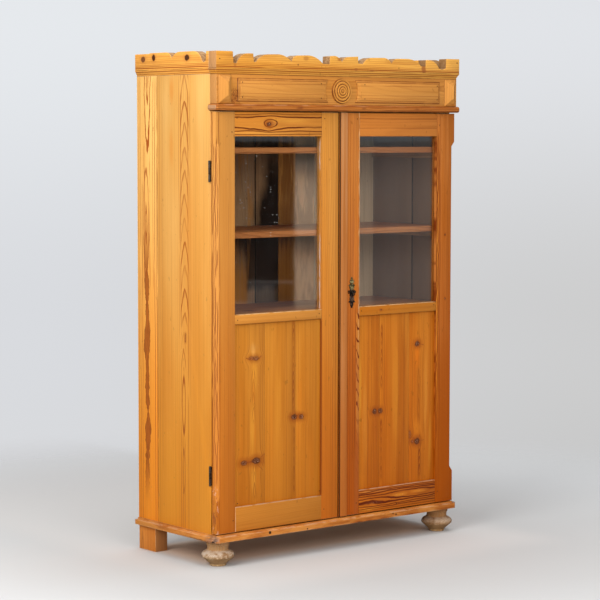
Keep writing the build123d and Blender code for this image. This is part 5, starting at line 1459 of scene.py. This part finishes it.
for (y0, y1, z0, z1) in ((29.0, 34.5, -6.0, 0.0), (29.0, 31.0, -10.5, -6.0), (32.4, 34.5, -10.5, -6.0)):
    bmesh.ops.create_cube(bm, size=1.0, matrix=Matrix.Translation(mm(KX, (y0 + y1) / 2, KZ + (z0 + z1) / 2))
                          @ Matrix.Diagonal((0.0024, (y1 - y0) / 1000, (z1 - z0) / 1000, 1.0)))
o = finish_mesh(bm, "key_forged", key_mat, "key", 45)
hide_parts("key")

# =====================================================================
# old glass
# =====================================================================
def glass_material(name, specks, haze):
    m, g = new_material(name)
    x, y, z = g.xyz()
    lw = g.node("ShaderNodeLayerWeight")
    facing = Val(g, lw.outputs["Facing"])
    f2 = facing * facing
    fres = f2 * f2 * facing * 0.90 + 0.080
    tr = g.node("ShaderNodeBsdfTransparent")
    tr.inputs["Color"].default_value = (0.955, 0.965, 0.955, 1.0)
    gl = g.node("ShaderNodeBsdfGlossy")
    gl.inputs["Color"].default_value = (1.0, 1.0, 1.0, 1.0)
    gl.inputs["Roughness"].default_value = 0.03
    wav = g.noise(g.vec(x * 9, 0.0, z * 5), detail=2)
    nb = g.bump(wav, 0.10, 0.0010)
    g.put(gl.inputs["Normal"], nb)
    df = g.node("ShaderNodeBsdfDiffuse")
    df.inputs["Color"].default_value = (0.93, 0.90, 0.86, 1.0)
    mx = g.node("ShaderNodeMixShader")
    g.put(mx.inputs[0], fres)
    g.t.links.new(tr.outputs[0], mx.inputs[1])
    g.t.links.new(gl.outputs[0], mx.inputs[2])
    # a faint film of dust, and white specks
    film = g.noise(g.vec(x * 5, 0.0, z * 4), detail=3)
    k = g.smooth(film, 0.40, 0.72) * 0.003 * haze
    vo = g.node("ShaderNodeTexVoronoi", voronoi_dimensions="2D", feature="F1")
    vo.inputs["Scale"].default_value = 1.0
    g.put(vo.inputs["Vector"], g.vec(x * 118, z * 118, 0.0))
    dist = Val(g, vo.outputs["Distance"])
    sep = g.node("ShaderNodeSeparateColor")
    g.t.links.new(vo.outputs["Color"], sep.inputs[0])
    cell, cell2 = Val(g, sep.outputs[0]), Val(g, sep.outputs[1])
    sp2 = g.noise(g.vec(x * 14, 9.0, z * 5), detail=2)
    much = g.smooth(g.abs(x + 0.3885), 0.018, 0.008) * g.smooth(z, 1.09, 1.13) * g.smooth(z, 1.35, 1.32) * 0.34 \
        + g.smooth(g.abs(x + 0.350), 0.105, 0.055) * g.smooth(z, 1.02, 1.15) * g.smooth(z, 1.37, 1.34) * 0.12 * g.smooth(sp2, 0.38, 0.50) \
        + g.smooth(g.abs(x + 0.350), 0.110, 0.060) * 0.010
    dot = g.smooth(dist, 0.150, 0.070) * g.smooth(cell + much, 0.995, 1.005) * (g.smooth(cell2, 0.35, 1.0) * 0.72 + 0.10)
    k = k + dot * specks
    mx2 = g.node("ShaderNodeMixShader")
    g.put(mx2.inputs[0], k)
    g.t.links.new(mx.outputs[0], mx2.inputs[1])
    g.t.links.new(df.outputs[0], mx2.inputs[2])
    out = g.node("ShaderNodeOutputMaterial")
    g.t.links.new(mx2.outputs[0], out.inputs[0])
    return m


for n, sp, hz in (("left_door_glass", 0.75, 1.0), ("right_door_glass", 0.12, 2.2)):
    NODES[n].data.materials.clear()
    NODES[n].data.materials.append(glass_material("old_" + n, sp, hz))

# =====================================================================
# stage: pale floor, soft studio light, reflections
# =====================================================================
def stage_plane(name, corners, mat):
    me = bpy.data.meshes.new(name)
    me.from_pydata([tuple(c) for c in corners], [], [(0, 1, 2, 3)])
    o = bpy.data.objects.new(name, me)
    bpy.context.scene.collection.objects.link(o)
    me.materials.append(mat)
    o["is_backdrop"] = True
    return o


fm, g = new_material("studio_floor")
x, y, z = g.xyz()
rad = g.sqrt(x * x + y * y)
blot = g.noise(g.vec(x * 1.5, y * 1.5, 0.0), detail=3)
far_f = g.smooth(rad, 0.7, 2.6)
colr = g.mix(blot, (0.505, 0.505, 0.503), (0.535, 0.536, 0.535))
# painted light: the floor paler towards the left, where the key light falls
colr = g.mix(g.smooth(x, -0.3, -1.8) * 0.5, colr, (0.66, 0.67, 0.68))
colr = g.mix(far_f, colr, (0.74, 0.752, 0.765))
# painted light: a paler patch in front of the cabinet that lightens its shadow
colr = g.mix(g.smooth(y, -0.66, -0.42) * g.smooth(g.abs(x), 0.80, 0.60), colr, (0.585, 0.573, 0.565))
# painted light: a warm tint under the cabinet for light bounced off the wood
colr = g.mix(g.smooth(y, -0.20, -0.10) * g.smooth(g.abs(x), 0.56, 0.46) * g.smooth(y, 0.26, 0.18), colr, (0.66, 0.50, 0.385))
df = g.node("ShaderNodeBsdfDiffuse")
g.put(df.inputs["Color"], colr)
tr = g.node("ShaderNodeBsdfTransparent")
mx = g.node("ShaderNodeMixShader")
g.put(mx.inputs[0], g.smooth(rad, 1.15, 2.9))
g.t.links.new(df.outputs[0], mx.inputs[1])
g.t.links.new(tr.outputs[0], mx.inputs[2])
out = g.node("ShaderNodeOutputMaterial")
g.t.links.new(mx.outputs[0], out.inputs[0])
floor = stage_plane("studio_floor", [(-6, -6, 0), (6, -6, 0), (6, 6, 0), (-6, 6, 0)], fm)
floor.visible_glossy = False


def card(name, centre, toward, width, height, color, strength, profile=None):
    """A white card that only shows as a reflection."""
    m, g = new_material(name)
    e = g.node("ShaderNodeEmission")
    e.inputs["Color"].default_value = (*color, 1.0)
    if profile is None:
        e.inputs["Strength"].default_value = strength
    else:
        zz = g.xyz()[2]
        v = profile[0][1]
        for (za, sa), (zb, sb) in zip(profile[:-1], profile[1:]):
            v = g.smooth(zz, za, zb) * (sb - sa) + v
        g.put(e.inputs["Strength"], v * strength)
    out = g.node("ShaderNodeOutputMaterial")
    g.t.links.new(e.outputs[0], out.inputs[0])
    d = Vector((toward[0], toward[1], 0)).normalized()
    w = Vector((-d.y, d.x, 0))
    c = Vector(centre)
    up = Vector((0, 0, 1))
    o = stage_plane(name, [c - w * width / 2 - up * height / 2, c + w * width / 2 - up * height / 2,
                           c + w * width / 2 + up * height / 2, c - w * width / 2 + up * height / 2], m)
    o.visible_camera = o.visible_diffuse = o.visible_transmission = o.visible_volume_scatter = o.visible_shadow = False
    return o


# the reflected ray of the pane's x = -186 runs to (2.32, -3.30) four metres out; the bright wall starts there
rd = Vector((0.628, -0.778, 0.0)).normalized()
wv = Vector((0.778, 0.628, 0.0)).normalized()
edge_pt = Vector((2.326, -3.097 - YC / 1000, 0.0))
c = edge_pt + wv * 2.5
def along(a, b, z0, z1, name, color, strength, profile=None):
    c = edge_pt + wv * ((a + b) / 2)
    card(name, (c.x, c.y, (z0 + z1) / 2), (-rd.x, -rd.y), b - a, z1 - z0, color, strength, profile)


# the dips in these bands paint shade into the reflection: the card is dimmer at the heights where the shelves shade the
# inside behind the glass
bands = [(0.45, 0.50), (0.56, 0.92), (0.72, 0.92), (0.82, 0.45), (0.880, 0.28), (0.905, 0.95), (1.12, 1.05), (1.24, 0.55), (1.31, 0.22),
         (1.36, 0.22), (1.42, 0.42)]
calm = [(z, 0.55 + 0.45 * v) for z, v in bands]
along(0.0, 0.28, -0.6, 2.9, "reflected_door", (1.0, 0.84, 0.66), 1.0, bands)
along(0.28, 0.415, -0.6, 1.38, "reflected_jamb", (1.0, 0.93, 0.84), 0.50, calm)
along(0.415, 3.2, -0.6, 1.38, "reflected_wall", (0.96, 0.95, 1.0), 0.27, calm)
along(0.28, 3.2, 1.38, 2.9, "reflected_window", (0.84, 0.92, 1.0), 0.38)
along(-1.8, 0.0, 1.38, 2.9, "reflected_upper", (0.84, 0.92, 1.0), 0.29)
along(-1.8, 0.0, -0.6, 0.54, "reflected_floor", (0.88, 0.92, 1.0), 0.20)
along(-0.246, -0.107, 0.54, 0.630, "reflected_box", (0.88, 0.93, 1.0), 0.17)
along(-0.250, 0.0, 0.634, 0.650, "reflected_sill", (0.95, 0.92, 0.90), 0.22)


def area(name, loc, target, size_x, size_y, power, color=(1, 1, 1), glossy=True):
    d = bpy.data.lights.new(name, "AREA")
    d.shape, d.size, d.size_y, d.energy, d.color = "RECTANGLE", size_x, size_y, power, color
    o = bpy.data.objects.new(name, d)
    bpy.context.scene.collection.objects.link(o)
    o.location = loc
    o.rotation_mode = "QUATERNION"
    o.rotation_quaternion = (Vector(target) - Vector(loc)).to_track_quat("-Z", "Y")
    o.visible_camera = False
    o.visible_glossy = glossy
    return o


area("softbox_left", (-3.9, -1.3, 2.8), (-0.4, 0.0, 0.9), 2.4, 2.4, 138, (1.0, 0.985, 0.96))
area("softbox_front", (-0.9, -4.6, 3.0), (0.0, 0.0, 1.0), 2.6, 2.0, 83, (1.0, 0.985, 0.96), False)
area("softbox_camera", (-3.6, -4.9, 1.35), (0.0, 0.0, 0.85), 2.2, 2.0, 92, (1.0, 0.985, 0.96), False)
area("softbox_top", (0.3, 0.2, 4.2), (0.1, 0.0, 0.0), 3.4, 3.0, 95, (1.0, 0.99, 0.98))

w = bpy.data.worlds.new("studio")
bpy.context.scene.world = w
w.use_nodes = True
w.node_tree.nodes.clear()
g = Graph(w.node_tree)
tc = g.node("ShaderNodeTexCoord")
sep = g.node("ShaderNodeSeparateXYZ")
g.t.links.new(tc.outputs["Generated"], sep.inputs[0])
dx, dy, dz = (Val(g, sep.outputs[i]) for i in range(3))
side = g.math("ADD", dx * 0.777 - dy * 0.630, 0.0)
u = g.smooth(side, -0.15, 0.16)
# painted light: the backdrop the camera sees is lighter at the top and towards the left
top = g.mix(u, (0.790, 0.815, 0.845), (0.755, 0.772, 0.803))
midc = g.mix(u, (0.694, 0.708, 0.738), (0.612, 0.612, 0.614))
lowc = g.mix(u, (0.690, 0.700, 0.722), (0.580, 0.580, 0.580))
colw = g.mix(g.smooth(dz, -0.09, 0.055), midc, top)
colw = g.mix(g.smooth(dz, -0.10, -0.16), colw, lowc)
lp = g.node("ShaderNodeLightPath")
cam_bg = g.node("ShaderNodeBackground")
g.put(cam_bg.inputs["Color"], colw)
amb = g.node("ShaderNodeBackground")
amb.inputs["Color"].default_value = (0.93, 0.96, 1.0, 1.0)
amb.inputs["Strength"].default_value = 0.42
glo = g.node("ShaderNodeBackground")
glo.inputs["Color"].default_value = (0.5, 0.5, 0.52, 1.0)
glo.inputs["Strength"].default_value = 0.02
m1 = g.node("ShaderNodeMixShader")
m2 = g.node("ShaderNodeMixShader")
g.t.links.new(lp.outputs["Is Glossy Ray"], m1.inputs[0])
g.t.links.new(amb.outputs[0], m1.inputs[1])
g.t.links.new(glo.outputs[0], m1.inputs[2])
g.t.links.new(lp.outputs["Is Camera Ray"], m2.inputs[0])
g.t.links.new(m1.outputs[0], m2.inputs[1])
g.t.links.new(cam_bg.outputs[0], m2.inputs[2])
out = g.node("ShaderNodeOutputWorld")
g.t.links.new(m2.outputs[0], out.inputs[0])

sc = bpy.context.scene
sc.view_settings.view_transform = "Standard"
sc.view_settings.look = "None"
sc.view_settings.exposure = 0.0
sc.view_settings.gamma = 1.0

# =====================================================================
# camera
# =====================================================================
yaw, pitch, roll = 0.6816, 0.0792, 0.0012
cy_, sy_, cp_, sp_ = math.cos(yaw), math.sin(yaw), math.cos(pitch), math.sin(pitch)
fwd = Vector((sy_ * cp_, cy_ * cp_, -sp_))
right = Vector((cy_, -sy_, 0.0))
up = right.cross(fwd)
r2 = right * math.cos(roll) + up * math.sin(roll)
u2 = up * math.cos(roll) - right * math.sin(roll)
cd = bpy.data.cameras.new("camera")
cam = bpy.data.objects.new("camera", cd)
sc.collection.objects.link(cam)
cam.matrix_world = Matrix(((r2.x, u2.x, -fwd.x, -4.57797), (r2.y, u2.y, -fwd.y, -5.42617 - YC / 1000), (r2.z, u2.z, -fwd.z, 1.41936), (0, 0, 0, 1)))
cd.sensor_width, cd.sensor_fit, cd.lens = 36.0, "HORIZONTAL", 125.645
cd.clip_start, cd.clip_end = 0.05, 100.0
sc.camera = cam

lo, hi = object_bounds()
